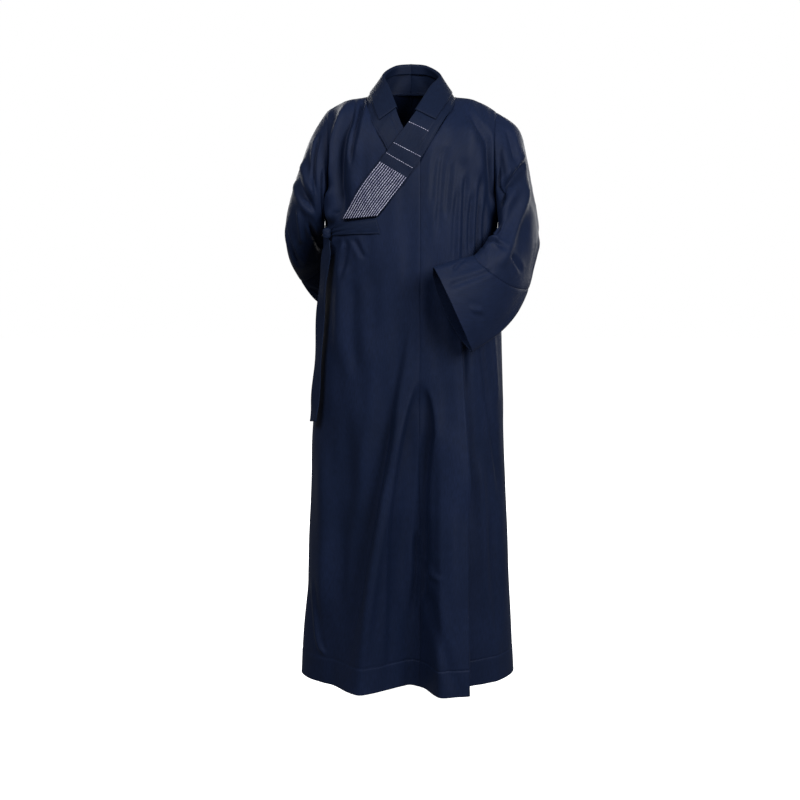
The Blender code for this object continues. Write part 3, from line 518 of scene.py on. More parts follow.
def cloth_sheet(name, grid, hint, material, thickness, around=False):
    """One sheet of cloth on a grid of points, its outer side facing the side of hint.

    Each cell is a square face, around joins the last column to the first, and the UVs are the arc lengths
    along and across. The thickness goes inwards.
    """
    rows, columns = grid.shape[:2]
    spans = columns if around else columns - 1
    wide = np.concatenate([grid, grid[:, :1]], axis=1) if around else grid
    across, along = arc_lengths(wide)
    row = np.arange(rows - 1)[:, None]
    column = np.arange(spans)[None, :]
    corners = [(row + a, column + b) for a, b in ((0, 0), (0, 1), (1, 1), (1, 0))]
    faces = np.stack([r * columns + c % columns for r, c in corners], axis=-1).reshape(-1, 4)
    uvs = np.stack([np.stack([across[r, c], along[r, c]], axis=-1) for r, c in corners], axis=2)
    facing = np.cross(wide[1:, 1:] - wide[:-1, :-1], wide[1:, :-1] - wide[:-1, 1:])
    uvs = uvs.reshape(-1, 4, 2)
    if np.sum(facing * hint[:rows - 1, :spans]) < 0.0:
        faces = faces[:, ::-1]
        uvs = uvs[:, ::-1]
    piece = make_mesh(name, grid.reshape(-1, 3), faces, uvs, material)
    wall = piece.modifiers.new("wall", "SOLIDIFY")
    wall.thickness = thickness
    wall.offset = -1.0
    return piece


def stands_for(piece, node):
    """The piece rides on the robe's one body and stands for a node, whose part is hidden."""
    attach(piece, "root")
    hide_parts(node)


def body_panel(name, surface, plan, creases, sides_closed):
    """A panel: its surface over its plan, moved out by its creases and in along its seams.

    sides_closed says which edges are sewn: inner, outer and top. Below its line of stitches the hem stands
    out by the fold of the cloth.
    """
    x, z = plan
    grid = surface(x, z)
    hint = grid * (1.0, 1.0, 0.0)
    normals = grid_normals(grid, hint)
    across, along = arc_lengths(grid)
    inner, outer, top = sides_closed
    to_side = across[:, -1:] - across
    to_top = along[-1:] - along
    height = creased(x, z, creases)
    if outer:
        height = height * ease(to_side, 0.0, SEAM_FADE)
        height = height - SEAM_DEPTH * bump(to_side, SEAM_HALF)
    if top:
        height = height * ease(to_top, 0.0, SEAM_FADE)
        height = height - SEAM_DEPTH * bump(to_top, SEAM_HALF)
    if inner:
        height = height - SEAM_DEPTH * bump(across, SEAM_HALF)
    stitched = LOWER_HEIGHTS[1]
    height = height - HEM_STITCH_DEPTH * bump(z - stitched, HEM_STITCH_HALF)
    height = height + HEM_FOLD * (1.0 - ease(z, stitched - HEM_FOLD_EDGE, stitched))
    return cloth_sheet(name, grid + height[..., None] * normals, hint, navy, CLOTH)


navy = woven_cloth("navy_plain_weave", "#0d162a", "#131d36", 0.58, 0.0012)
# The left front's columns lie closest round its pressed pleat.
pleat_columns = np.concatenate([[0.0, 0.003, 0.006], np.linspace(0.012, 0.37, 32),
                                np.linspace(0.376, 0.56, 36), np.linspace(0.568, 0.988, 30),
                                [0.994, 0.997, 1.0]])
rows = panel_rows(215, 56)
panels = {
    "front_left": body_panel("left_front_panel", outer_front,
                             panel_plan(LEFT_NECK_EDGE, 1, rows, pleat_columns),
                             CHEST_CREASES + SKIRT_CREASES, (True, True, True)),
    "front_right": body_panel("right_front_panel", under_front,
                              panel_plan(RIGHT_NECK_EDGE, -1, panel_rows(120, 64), spaced(64)),
                              CHEST_CREASES, (True, True, True)),
    "overlap": body_panel("overlap_panel", outer_front,
                          overlap_plan(np.concatenate([panel_rows(215, 1), np.linspace(13.0, 16.0, 34)[1:]]),
                                       spaced(96)),
                          CHEST_CREASES + SKIRT_CREASES, (True, False, False)),
    "front_under": body_panel("right_front_extension", under_front,
                              (np.linspace(CENTRE_SEAM_X, UNDER_END_X, 18) + np.zeros((130, 1)),
                               HEM_HEIGHT + np.outer(np.linspace(0.0, 1.0, 130),
                                                     np.linspace(*UNDER_TOP, 18) - HEM_HEIGHT)),
                              [], (True, False, False)),
    "back_left": body_panel("left_back_panel", back_surface,
                            panel_plan(BACK_NECK_EDGE, 1, rows, spaced(82)), BACK_CREASES,
                            (True, True, True)),
    "back_right": body_panel("right_back_panel", back_surface,
                             panel_plan(BACK_NECK_EDGE * (-1.0, 1.0), -1, rows, spaced(82)), BACK_CREASES,
                             (True, True, True)),
}
for node, piece in panels.items():
    stands_for(piece, node)

# ---- Sleeves -------------------------------------------------------------------------------------------
# Wide straight sleeves set into the armholes, each lengthened by a separate end with an open cuff. The
# left arm is bent before the waist and the right one behind it, which pulls long diagonal folds.
# Four guide curves (outer side, front, inner side, back) from the armhole to the cuff.
LEFT_GUIDES = np.array([
    [(0.187, 0.0, -0.045), (0.181, -0.078, -0.15), (0.1945, 0.0, -0.27), (0.182, 0.07, -0.15)],
    [(0.2385, 0.0, -0.083), (0.199, -0.094, -0.195), (0.196, -0.014, -0.302), (0.208, 0.082, -0.18)],
    [(0.258, 0.002, -0.148), (0.207, -0.104, -0.238), (0.1915, -0.042, -0.31), (0.229, 0.088, -0.225)],
    [(0.271, 0.008, -0.215), (0.211, -0.112, -0.272), (0.182, -0.072, -0.311), (0.245, 0.086, -0.268)],
    [(0.284, 0.016, -0.275), (0.214, -0.122, -0.305), (0.181, -0.099, -0.311), (0.256, 0.076, -0.31)],
    [(0.2865, 0.022, -0.335), (0.215, -0.134, -0.34), (0.165, -0.12, -0.323), (0.256, 0.052, -0.35)],
    [(0.276, 0.016, -0.39), (0.211, -0.146, -0.378), (0.148, -0.141, -0.338), (0.242, 0.01, -0.385)],
    [(0.266, -0.005, -0.435), (0.198, -0.16, -0.41), (0.132, -0.158, -0.35), (0.212, -0.045, -0.405)],
    [(0.233, -0.076, -0.486), (0.16, -0.195, -0.44), (0.102, -0.187, -0.357), (0.165, -0.125, -0.43)],
    [(0.186, -0.138, -0.526), (0.121, -0.222, -0.462), (0.073, -0.212, -0.365), (0.115, -0.172, -0.455)],
    [(0.128, -0.19, -0.556), (0.094, -0.238, -0.475), (0.046, -0.232, -0.374), (0.068, -0.188, -0.465)],
])
RIGHT_GUIDES = np.array([
    [(-0.187, 0.0, -0.045), (-0.181, -0.078, -0.15), (-0.1945, 0.0, -0.27), (-0.182, 0.07, -0.15)],
    [(-0.222, 0.002, -0.1), (-0.201, -0.092, -0.195), (-0.196, 0.012, -0.303), (-0.206, 0.088, -0.185)],
    [(-0.2465, 0.006, -0.16), (-0.216, -0.092, -0.238), (-0.1915, 0.028, -0.313), (-0.222, 0.104, -0.228)],
    [(-0.264, 0.012, -0.212), (-0.23, -0.08, -0.278), (-0.188, 0.057, -0.314), (-0.23, 0.12, -0.262)],
    [(-0.277, 0.022, -0.262), (-0.24, -0.056, -0.315), (-0.194, 0.082, -0.302), (-0.229, 0.137, -0.294)],
    [(-0.28, 0.038, -0.312), (-0.243, -0.022, -0.352), (-0.181, 0.106, -0.309), (-0.219, 0.155, -0.322)],
    [(-0.27, 0.062, -0.362), (-0.238, 0.022, -0.388), (-0.162, 0.13, -0.316), (-0.2, 0.175, -0.348)],
    [(-0.25, 0.094, -0.42), (-0.213, 0.085, -0.405), (-0.135, 0.155, -0.325), (-0.168, 0.198, -0.38)],
    [(-0.217, 0.14, -0.478), (-0.15, 0.14, -0.425), (-0.09, 0.182, -0.34), (-0.12, 0.222, -0.412)],
    [(-0.145, 0.185, -0.522), (-0.085, 0.167, -0.45), (-0.04, 0.197, -0.355), (-0.065, 0.235, -0.435)],
    [(-0.07, 0.212, -0.555), (-0.025, 0.18, -0.468), (0.01, 0.207, -0.372), (-0.01, 0.24, -0.455)],
])
LAST_STATION = len(LEFT_GUIDES) - 1
END_SEAM = 7
# The sleeve rolled flat: metres round it for a radian, and metres down it for a station.
SLEEVE_ROUND = 0.075
SLEEVE_STEP = 0.055

# Creases as on the body, but their paths are in stations down the sleeve and degrees round it.
LEFT_SLEEVE_CREASES = [
    (-0.015, 0.015, 0.0085, [(2.1, 14), (2.02, 34), (1.85, 62), (1.5, 88), (1.05, 112), (0.65, 136)]),
    (0.008, 0.014, 0.018, [(2.6, 20), (3.1, 44), (3.85, 76), (5.1, 98), (6.5, 112)]),
    (-0.0065, 0.007, 0.007, [(5.9, 168), (5.35, 164), (4.85, 152), (4.6, 136), (4.75, 118), (5.3, 102)]),
    (0.003, 0.008, 0.008, [(5.0, 168), (4.5, 154), (4.2, 136), (4.3, 116)]),
    (-0.006, 0.007, 0.007, [(4.1, 150), (3.3, 128), (2.6, 116)]),
    (-0.005, 0.008, 0.008, [(0.4, 40), (1.1, 52), (1.7, 50)]),
    (0.006, 0.012, 0.012, [(0.4, 66), (1.0, 76), (1.5, 74)]),
    (-0.0055, 0.007, 0.008, [(0.4, 96), (0.9, 108), (1.3, 122)]),
    (-0.0028, 0.0055, 0.0055, [(9.7, 127), (8.9, 127), (8.05, 125), (7.3, 122), (6.55, 118)]),
    (-0.0026, 0.005, 0.005, [(8.8, 148), (8.2, 158), (7.55, 166)]),
    (0.003, 0.006, 0.006, [(9.0, 90), (8.75, 85), (8.5, 78)]),
    (-0.004, 0.006, 0.006, [(6.2, 60), (5.6, 78), (5.3, 92)]),
    (-0.006, 0.01, 0.009, [(2.4, 340), (2.6, 320), (2.5, 290), (2.0, 262)]),
    (-0.0055, 0.009, 0.009, [(4.4, 342), (4.8, 320), (5.0, 290), (5.0, 260)]),
    (0.004, 0.011, 0.011, [(3.3, 335), (3.6, 310), (3.7, 280)]),
    (-0.007, 0.008, 0.008, [(5.9, 300), (6.0, 270), (5.8, 240), (5.3, 212)]),
    (-0.005, 0.008, 0.008, [(7.4, 300), (8.4, 284), (9.5, 276)]),
]
RIGHT_SLEEVE_CREASES = [
    (-0.0075, 0.007, 0.008, [(0.45, 44), (0.9, 56), (1.3, 72), (1.6, 96)]),
    (-0.011, 0.009, 0.009, [(2.2, 8), (2.4, 34), (2.45, 58), (2.3, 82), (1.9, 108)]),
    (0.007, 0.011, 0.011, [(1.7, 22), (1.85, 48), (1.8, 74), (1.5, 94)]),
    (-0.006, 0.006, 0.007, [(0.5, 92), (0.9, 106), (1.3, 128), (1.6, 150)]),
    (-0.007, 0.008, 0.008, [(2.9, 96), (3.4, 112), (4.05, 127), (5.0, 130), (5.95, 129)]),
    (0.006, 0.01, 0.01, [(3.0, 60), (3.7, 80), (4.6, 92)]),
    (-0.006, 0.007, 0.007, [(4.2, 20), (4.6, 44), (5.2, 66), (6.0, 80)]),
    (-0.006, 0.009, 0.009, [(3.2, 340), (3.6, 322), (3.7, 290), (3.3, 262)]),
    (-0.0055, 0.009, 0.009, [(5.2, 342), (5.6, 322), (5.8, 290), (5.6, 256)]),
    (0.004, 0.011, 0.011, [(4.3, 335), (4.7, 310), (4.8, 280)]),
    (-0.007, 0.008, 0.008, [(4.6, 168), (5.2, 180), (5.6, 200), (5.7, 224)]),
    (-0.006, 0.008, 0.008, [(7.4, 320), (8.3, 300), (9.4, 292)]),
    (-0.005, 0.007, 0.007, [(7.3, 40), (8.3, 60), (9.4, 66)]),
]


def armhole_loop(side, angle):
    """Armhole at angles from the shoulder, down its front edge to the armpit and up its back edge."""
    turn = angle / np.pi
    row = UPPER_ROWS * np.abs(1.0 - turn)
    edge = smooth(np.arange(UPPER_ROWS + 1), ARMHOLE, row)
    front = body_point(side * edge[:, 0], edge[:, 1], -1, 0.0)
    back = body_point(side * edge[:, 0], edge[:, 1], 1, 0.0)
    return np.where((turn <= 1.0)[:, None], front, back)


def sleeve_rings(guides, angle, stations):
    """Rings through the four guides: their mean, plus half the outer-inner difference times the cosine,
    plus half the front-back difference times the sine, plus a term in the doubled angle that closes on
    all four."""
    knots = np.arange(len(guides))
    outer, front, inner, back = (smooth(knots, guides[:, i], stations)[:, None] for i in range(4))
    cosine = np.cos(angle)[:, None]
    sine = np.sin(angle)[:, None]
    middle = 0.25 * (outer + front + inner + back)
    squash = 0.25 * (outer + inner - front - back) * (cosine ** 2 - sine ** 2)
    return middle + 0.5 * (outer - inner) * cosine + 0.5 * (front - back) * sine + squash


def sleeve(side, guides, creases):
    """A whole sleeve as a grid of rings, led over from the armhole's own loop along its first stretch."""
    angle = np.linspace(0.0, 2.0 * np.pi, 132, endpoint=False)
    near_seam = END_SEAM + np.array([-0.1, -0.06, -0.03, 0.0, 0.03, 0.06, 0.1])
    stations = np.concatenate([[0.0, 0.02, 0.05], np.linspace(0.1, 6.84, 92), near_seam,
                               np.linspace(7.16, 9.94, 44), [9.97, LAST_STATION]])
    fade = (1.0 - ease(stations, 0.0, 2.0))[:, None, None]
    loop = armhole_loop(side, angle)
    grid = sleeve_rings(guides, angle, stations) + fade * (loop - sleeve_rings(guides, angle, np.zeros(1)))
    hint = grid - grid.mean(axis=1, keepdims=True)
    normals = grid_normals(grid, hint, around=True)
    down = -SLEEVE_STEP * stations[:, None] + 0.0 * angle
    height = sum(size * np.sin(2.0 * np.pi * (a * down + b * SLEEVE_ROUND * np.sin(angle)) + phase)
                 for size, b, a, phase in DRIFT)
    for depth, west, east, path in creases:
        turns = np.radians([degrees for _, degrees in path])
        middle = turns.mean()
        laid = middle + np.mod(angle - middle + np.pi, 2.0 * np.pi) - np.pi
        points = [(SLEEVE_ROUND * turn, -SLEEVE_STEP * station) for turn, (station, _) in zip(turns, path)]
        height = height + crease(SLEEVE_ROUND * laid + 0.0 * down, down, depth, west, east, points)
    height = height * ease(stations, 0.0, 0.45)[:, None]
    for seam in (0.0, END_SEAM):
        height = height - SEAM_DEPTH * bump(SLEEVE_STEP * (stations - seam), SEAM_HALF)[:, None]
    underarm = np.mod(angle, 2.0 * np.pi) - np.pi
    height = height - SEAM_DEPTH * bump(SLEEVE_ROUND * underarm, SEAM_HALF)
    return stations, grid + height[..., None] * normals, hint


for side, sign, guides, creases in (("left", 1, LEFT_GUIDES, LEFT_SLEEVE_CREASES),
                                    ("right", -1, RIGHT_GUIDES, RIGHT_SLEEVE_CREASES)):
    stations, grid, hint = sleeve(sign, guides, creases)
    join = int(np.argmin(np.abs(stations - END_SEAM)))
    for name, node, part in ((side + "_sleeve", "sleeve_" + side, slice(0, join + 1)),
                             (side + "_sleeve_extension", "sleeve_end_" + side, slice(join, None))):
        panels[node] = cloth_sheet(name, grid[part], hint[part], navy, CLOTH, around=True)
        stands_for(panels[node], node)

# ---- Collar --------------------------------------------------------------------------------------------
# A long band of several pressed layers, sewn to the neck edge and the front's slant. The wearer's left
# half lies over the right one, and a short guard of the same cloth is folded over the band at the neck.
COLLAR_CLOTH = 0.0026
RIGHT_COLLAR_LIFT = 0.0032
LEFT_COLLAR_LIFT = (0.0098, 0.0068)
GUARD_LIFT = 0.003
GUARD_CLOTH = 0.0014
LEFT_SEAM = [(0.0002, 0.0674, -0.0062), (0.0545, 0.044, -0.0075), (0.0945, 0.0, -0.0135),
             (0.0905, -0.065, -0.035), (0.066, -0.11, -0.07), (0.022, -0.135, -0.143),
             (-0.01, -0.14, -0.188), (-0.043, -0.145, -0.231), (-0.0735, -0.145, -0.269)]
LEFT_FREE = [(0.0002, 0.055, 0.058), (0.037, 0.04, 0.053), (0.064, 0.0, 0.031),
             (0.0423, -0.045, 0.005), (0.012, -0.085, -0.043), (-0.0385, -0.12, -0.112),
             (-0.069, -0.13, -0.1535), (-0.109, -0.13, -0.206), (-0.151, -0.12, -0.278)]
RIGHT_SEAM = [(-0.0002, 0.0674, -0.0062), (-0.0545, 0.044, -0.0075), (-0.0965, 0.0, -0.014),
              (-0.0968, -0.061, -0.0355), (-0.083, -0.099, -0.074), (-0.062, -0.11, -0.11),
              (-0.036, -0.128, -0.162), (0.006, -0.14, -0.245), (0.047, -0.145, -0.32)]
RIGHT_FREE = [(-0.0002, 0.055, 0.058), (-0.037, 0.04, 0.053), (-0.062, 0.0, 0.032),
              (-0.05, -0.045, 0.002), (-0.035, -0.08, -0.039), (-0.019, -0.105, -0.08),
              (0.012, -0.125, -0.135), (0.055, -0.135, -0.215), (0.095, -0.14, -0.285)]
COLLAR_END = len(LEFT_SEAM) - 1
SETTLE = (2.6, 4.2)
GUARD_END = 4.05
GUARD_START = 0.26


def band(seam, free, stations, parts, lift):
    """Strip between a sewn and a free edge: straight across while it stands at the neck, and past SETTLE
    on the chest's surface, moved out by lift. lift is one height, or two from the sewn to the free edge."""
    knots = np.arange(len(seam))
    first = smooth(knots, np.array(seam), stations)[:, None, :]
    second = smooth(knots, np.array(free), stations)[:, None, :]
    points = first + (second - first) * parts[None, :, None]
    lifts = np.interp(parts, (0.0, 1.0), np.broadcast_to(lift, 2))
    chest = body_point(points[..., 0], points[..., 2], -1, 0.0)[..., 1] - lifts
    weight = ease(stations, *SETTLE)[:, None]
    points[..., 1] = points[..., 1] * (1.0 - weight) + chest * weight
    return points


def pressed_band(name, seam, free, lift, grooves):
    """A collar band: slightly full between its edges, with pressed grooves along and across it.

    A groove is (first station, last station, part) along the band.
    """
    stations = np.linspace(0.0, COLLAR_END, 176)
    parts = spaced(36, 0.02)
    grid = band(seam, free, stations, parts, lift)
    hint = grid * (1.0, 1.0, 0.0)
    normals = grid_normals(grid, hint)
    normals[0] = unit(normals[0] * (0.0, 1.0, 1.0))
    height = 0.0006 * np.sin(np.pi * parts) - 0.0008 * bump(parts - 0.045, 0.014)
    height = height + 0.0 * stations[:, None]
    for first, last, part in grooves:
        run = ease(stations, first, first + 0.05) * (1.0 - ease(stations, last - 0.05, last))
        height = height - 0.0011 * run[:, None] * bump(parts - part, 0.022)
    wave = 0.0005 * np.sin(2.0 * np.pi * (1.3 * stations[:, None] + 0.8 * parts) + 0.7)
    grid = grid + (height + wave)[..., None] * normals
    return cloth_sheet(name, grid, hint, pressed, COLLAR_CLOTH), grid, normals


pressed = woven_cloth("navy_pressed_layers", "#0b1326", "#0f192e", 0.57, 0.0012)
left_band, left_grid, left_normals = pressed_band("left_collar_band", LEFT_SEAM, LEFT_FREE, LEFT_COLLAR_LIFT,
                                                  [(4.42, 5.06, 0.83), (4.1, 5.06, 0.24)])
right_band, _, _ = pressed_band("right_collar_band", RIGHT_SEAM, RIGHT_FREE, RIGHT_COLLAR_LIFT,
                                [(2.6, 5.6, 0.72)])
stands_for(left_band, "collar_left")
stands_for(right_band, "collar_right")


def folded_guard():
    """The guard: up the band's outside, over its free edge in a half circle, and down inside.

    Both halves are bands from GUARD_START to the free edge, joined at the middle of the back.
    """
    stations = np.linspace(0.0, GUARD_END, 70)
    outside = np.linspace(GUARD_START, 1.0, 22)
    turn = np.linspace(0.0, np.pi, 9)[1:-1]
    inside = np.linspace(1.0, 0.72, 8)
    parts = np.concatenate([outside, np.ones(len(turn)), inside])
    reach = GUARD_LIFT + 0.5 * COLLAR_CLOTH
    offset = np.concatenate([np.full(len(outside), reach), reach * np.cos(turn),
                             np.full(len(inside), -reach)])
    beyond = np.concatenate([0.0 * outside, reach * np.sin(turn), 0.0 * inside])
    halves = []
    for seam, free, lift in ((RIGHT_SEAM, RIGHT_FREE, RIGHT_COLLAR_LIFT),
                             (LEFT_SEAM, LEFT_FREE, LEFT_COLLAR_LIFT)):
        flat = band(seam, free, stations, outside, lift)
        normals = grid_normals(flat, flat * (1.0, 1.0, 0.0))
        normals[0] = unit(normals[0] * (0.0, 1.0, 1.0))
        spot = smooth(outside, np.swapaxes(flat, 0, 1), parts)
        facing = unit(smooth(outside, np.swapaxes(normals, 0, 1), parts))
        up = unit(flat[:, -1] - flat[:, -2])
        middle = spot - 0.5 * COLLAR_CLOTH * facing
        points = middle + offset[:, None, None] * facing + beyond[:, None, None] * up
        halves.append(np.swapaxes(points, 0, 1))
    return np.concatenate([halves[0][:0:-1], halves[1]])


guard_grid = folded_guard()
guard_hint = np.zeros_like(guard_grid)
guard_hint[:, :20] = guard_grid[:, :20] * (1.0, 1.0, 0.0)
guard = cloth_sheet("collar_guard_fold", guard_grid, guard_hint, pressed, GUARD_CLOTH)
stands_for(guard, "collar_guard")

# ---- Collar stitching ----------------------------------------------------------------------------------
# Thick pale cotton thread worked through the left band by hand: fourteen close rows of running stitch that
# fill its lower end, and three single rows across it above them. Each stitch is a small rounded bar.
FIELD_ROWS = 14
FIELD_PARTS = (0.035, 0.965)
FIELD_STATIONS = (6.0, 7.985)
FIELD_STITCH = (0.006, 0.0001, 0.00092)
CROSS_ROWS = [(4.39, 0.25, 0.985, 0.00075), (5.03, 0.035, 0.985, 0.00075), (5.54, 0.035, 0.985, 0.00062)]
CROSS_STITCH = (0.004, 0.001)


def on_band(stations, parts):
    """Point and normal of the left band at stations and parts, bilinear between the points of its grid."""
    row = np.clip(stations / COLLAR_END * (len(left_grid) - 1), 0.0, len(left_grid) - 1.001)
    known = spaced(36, 0.02)
    column = np.clip(np.interp(parts, known, np.arange(len(known))), 0.0, len(known) - 1.001)
    i = row.astype(int)
    j = column.astype(int)
    u = (row - i)[:, None]
    v = (column - j)[:, None]
    corners = [((1.0 - u) * (1.0 - v), i, j), (u * (1.0 - v), i + 1, j), ((1.0 - u) * v, i, j + 1),
               (u * v, i + 1, j + 1)]
    point = sum(weight * left_grid[a, b] for weight, a, b in corners)
    normal = unit(sum(weight * left_normals[a, b] for weight, a, b in corners))
    return point, normal


def stitch_places(stations, parts, length, gap):
    """Starts, ends and normals of the stitches along a line on the band, a gap apart and evenly spread."""
    points, normals = on_band(stations, parts)
    run = np.linalg.norm(np.diff(points, axis=0), axis=-1).cumsum()
    run = np.concatenate([[0.0], run])
    count = max(1, int(round((run[-1] + gap) / (length + gap))))
    pitch = (run[-1] + gap) / count
    starts = pitch * np.arange(count)
    place = [np.stack([np.interp(at, run, points[:, k]) for k in range(3)], axis=-1)
             for at in (starts, starts + pitch - gap)]
    facing = unit(np.stack([np.interp(starts + 0.5 * pitch, run, normals[:, k]) for k in range(3)], axis=-1))
    return place[0], place[1], facing


def stitches(name, places, radius, lift, material):
    """Rounded bars between starts and ends: a ring of radius r * sqrt(1 - 0.6 t^8) carried from t = -1 to 1,
    bowed out of the cloth by lift * (1 - t^2)."""
    starts, ends, facing = (np.concatenate(group) for group in zip(*places))
    radius = np.broadcast_to(radius, len(starts))
    t = np.linspace(-1.0, 1.0, 7)[None, :, None, None]
    angle = np.linspace(0.0, 2.0 * np.pi, 6, endpoint=False)[None, None, :, None]
    middle = 0.5 * (starts + ends)[:, None, None, :]
    half = 0.5 * (ends - starts)[:, None, None, :]
    up = facing[:, None, None, :]
    across = unit(np.cross(half, up))
    size = radius[:, None, None, None] * np.sqrt(1.0 - 0.6 * t ** 8)
    points = (middle + half * t + up * lift * (1.0 - t * t)
              + size * (np.cos(angle) * across + 0.8 * np.sin(angle) * up))
    count, rings, sides = points.shape[:3]
    first = (np.arange(count) * rings * sides)[:, None]
    ring = first[..., None] + np.arange(rings - 1)[:, None] * sides
    turn = np.arange(sides)
    beside = (turn + 1) % sides
    walls = np.stack([ring + turn, ring + sides + turn, ring + sides + beside, ring + beside], axis=-1)
    low = first + np.array([0, 1, 2, 3, 0, 3, 4, 5])
    high = first + (rings - 1) * sides + np.array([3, 2, 1, 0, 5, 4, 3, 0])
    faces = np.concatenate([end.reshape(-1, 4) for end in (walls, low, high)])
    uvs = np.zeros((len(faces), 4, 2))
    return make_mesh(name, points.reshape(-1, 3), faces, uvs, material)


def pale_thread(name, colour, roughness):
    """Soft two-ply cotton thread: matt and pale, with the twist of its plies drawn as slanting ribs."""
    material = bpy.data.materials.new(name)
    material.use_nodes = True
    shader = material.node_tree.nodes["Principled BSDF"]
    spot = add_node(material, "TexCoord")
    twist = add_node(material, "TexWave", {"Vector": spot.outputs["Object"], "Scale": 0.314 / 0.0011,
                                           "Distortion": 0.4}, wave_type="BANDS", bands_direction="DIAGONAL")
    worn = add_node(material, "TexNoise", {"Vector": spot.outputs["Object"], "Scale": 90.0, "Detail": 2.0})
    shade = add_node(material, "ValToRGB", {"Fac": worn.outputs["Fac"]})
    shade.color_ramp.elements[0].position = 0.35
    shade.color_ramp.elements[0].color = linear("#807f98")
    shade.color_ramp.elements[1].position = 0.65
    shade.color_ramp.elements[1].color = linear(colour)
    relief = add_node(material, "Bump", {"Height": twist.outputs["Fac"], "Strength": 0.5, "Distance": 0.0002})
    links = material.node_tree.links
    links.new(shade.outputs["Color"], shader.inputs["Base Color"])
    links.new(relief.outputs["Normal"], shader.inputs["Normal"])
    shader.inputs["Roughness"].default_value = roughness
    shader.inputs["Specular IOR Level"].default_value = 0.25
    return material


thread = pale_thread("pale_cotton_thread", "#a5a6ba", 0.7)
length, gap, radius = FIELD_STITCH
down_field = np.linspace(*FIELD_STATIONS, 60)
field_places = []
for part in np.linspace(*FIELD_PARTS, FIELD_ROWS):
    field_places.append(stitch_places(down_field, np.full(60, part), length, gap))
field = stitches("stitched_field", field_places, radius, 0.0005, thread)
cross_places = []
cross_radius = []
length, gap = CROSS_STITCH
for station, start, end, radius in CROSS_ROWS:
    cross_places.append(stitch_places(np.full(40, station), np.linspace(start, end, 40), length, gap))
    cross_radius.append(np.full(len(cross_places[-1][0]), radius))
rows_across = stitches("stitched_rows_across", cross_places, np.concatenate(cross_radius), 0.0004, thread)
for piece in (field, rows_across):
    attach(piece, "root")

# ---- Tie -----------------------------------------------------------------------------------------------
# A narrow strip folded double and edge-stitched. It is sewn along the overlap's top corner, tied in one
# tight knot at the wearer's right side, and its long end hangs down to the hip, cut slanting.
TIE_CLOTH = 0.002
TIE_LIFT = 0.01
BAND_TOP = [(-0.0745, -0.2735), (-0.11, -0.279), (-0.14, -0.284), (-0.158, -0.291), (-0.168, -0.299)]
BAND_LOW = [(-0.066, -0.306), (-0.1, -0.307), (-0.13, -0.3085), (-0.155, -0.3125), (-0.168, -0.315)]
TAIL_PATH = np.array([(-0.18, -0.102, -0.323), (-0.187, -0.099, -0.356), (-0.195, -0.092, -0.42),
                      (-0.202, -0.087, -0.5), (-0.208, -0.085, -0.6), (-0.215, -0.085, -0.68),
                      (-0.2195, -0.085, -0.725)])
TAIL_HALF = np.array([0.008, -0.0136, -0.004])
TAIL_SLANT = 0.006

tie_cloth = woven_cloth("navy_folded_strip", "#0b1427", "#101a31", 0.57, 0.0012)
stations = np.linspace(0.0, 4.0, 70)
parts = spaced(14, 0.06)
knots = np.arange(5)
upper = smooth(knots, np.array(BAND_TOP), stations)
lower = smooth(knots, np.array(BAND_LOW), stations)
flat = upper[:, None] + (lower - upper)[:, None] * parts[None, :, None]
grid = body_point(flat[..., 0], flat[..., 1], -1, TIE_LIFT)
pull = ease(stations, 1.2, 4.0)[:, None]
gathers = 0.0016 * pull * np.sin(2.0 * np.pi * 2.5 * parts + 0.6) + 0.0005 * np.sin(np.pi * parts)
edges = -0.0006 * (bump(parts - 0.1, 0.05) + bump(parts - 0.9, 0.05))
grid = grid + (gathers + edges)[..., None] * grid_normals(grid, np.array([0.0, -1.0, 0.0]))
tie_band = cloth_sheet("tie_band", grid, np.zeros_like(grid) + (0.0, -1.0, 0.0), tie_cloth, TIE_CLOTH)
stands_for(tie_band, "tie_front")

stations = np.linspace(0.0, len(TAIL_PATH) - 1.0, 150)
path = smooth(np.arange(len(TAIL_PATH)), TAIL_PATH, stations)
parts = np.linspace(-1.0, 1.0, 15)
narrow = 0.45 + 0.55 * ease(stations, 0.0, 0.9)
grid = path[:, None] + TAIL_HALF * (parts * narrow[:, None])[..., None]
slant = ease(stations, len(TAIL_PATH) - 1.5, len(TAIL_PATH) - 1.0)[:, None]
grid[..., 2] += TAIL_SLANT * slant * parts
tail_hint = np.zeros_like(grid) + (-1.0, -0.6, 0.0)
normals = grid_normals(grid, tail_hint)
ripple = 0.0016 * np.sin(2.0 * np.pi * 0.55 * stations + 0.9)[:, None] * parts
fold = -0.0008 * (bump(parts - 0.78, 0.1) + bump(parts + 0.78, 0.1))
grid = grid + (ripple + fold)[..., None] * normals
tail = cloth_sheet("tie_hanging_end", grid, tail_hint, tie_cloth, TIE_CLOTH)
stands_for(tail, "tie_tail")

# The knot is one turn of the strip drawn tight round itself: a waisted lump with a spiral crease.
knot_low, knot_high = (np.array(corner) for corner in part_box("tie_knot"))
knot_centre = 0.5 * (knot_low + knot_high)
knot_radii = 0.5 * (knot_high - knot_low)
turn = np.radians(np.linspace(-90.0, 90.0, 42))[:, None]
angle = np.linspace(0.0, 2.0 * np.pi, 64, endpoint=False)[None, :]
waist = 1.0 - 0.16 * np.cos(2.0 * turn) * bump(turn, 0.9)
spiral = 1.0 - 0.1 * bump(np.sin(angle + 2.6 * turn), 0.22) * np.cos(turn)
wrap = 1.0 + 0.07 * bump(np.sin(0.5 * angle - 1.1 * turn + 0.8), 0.3) * np.cos(turn)
shape = waist * spiral * wrap
grid = np.stack([np.cos(turn) * np.cos(angle) * shape, np.cos(turn) * np.sin(angle) * shape,
                 np.sin(turn) * (0.96 + 0.04 * shape)], axis=-1)
grid = knot_centre + knot_radii * grid * 0.99
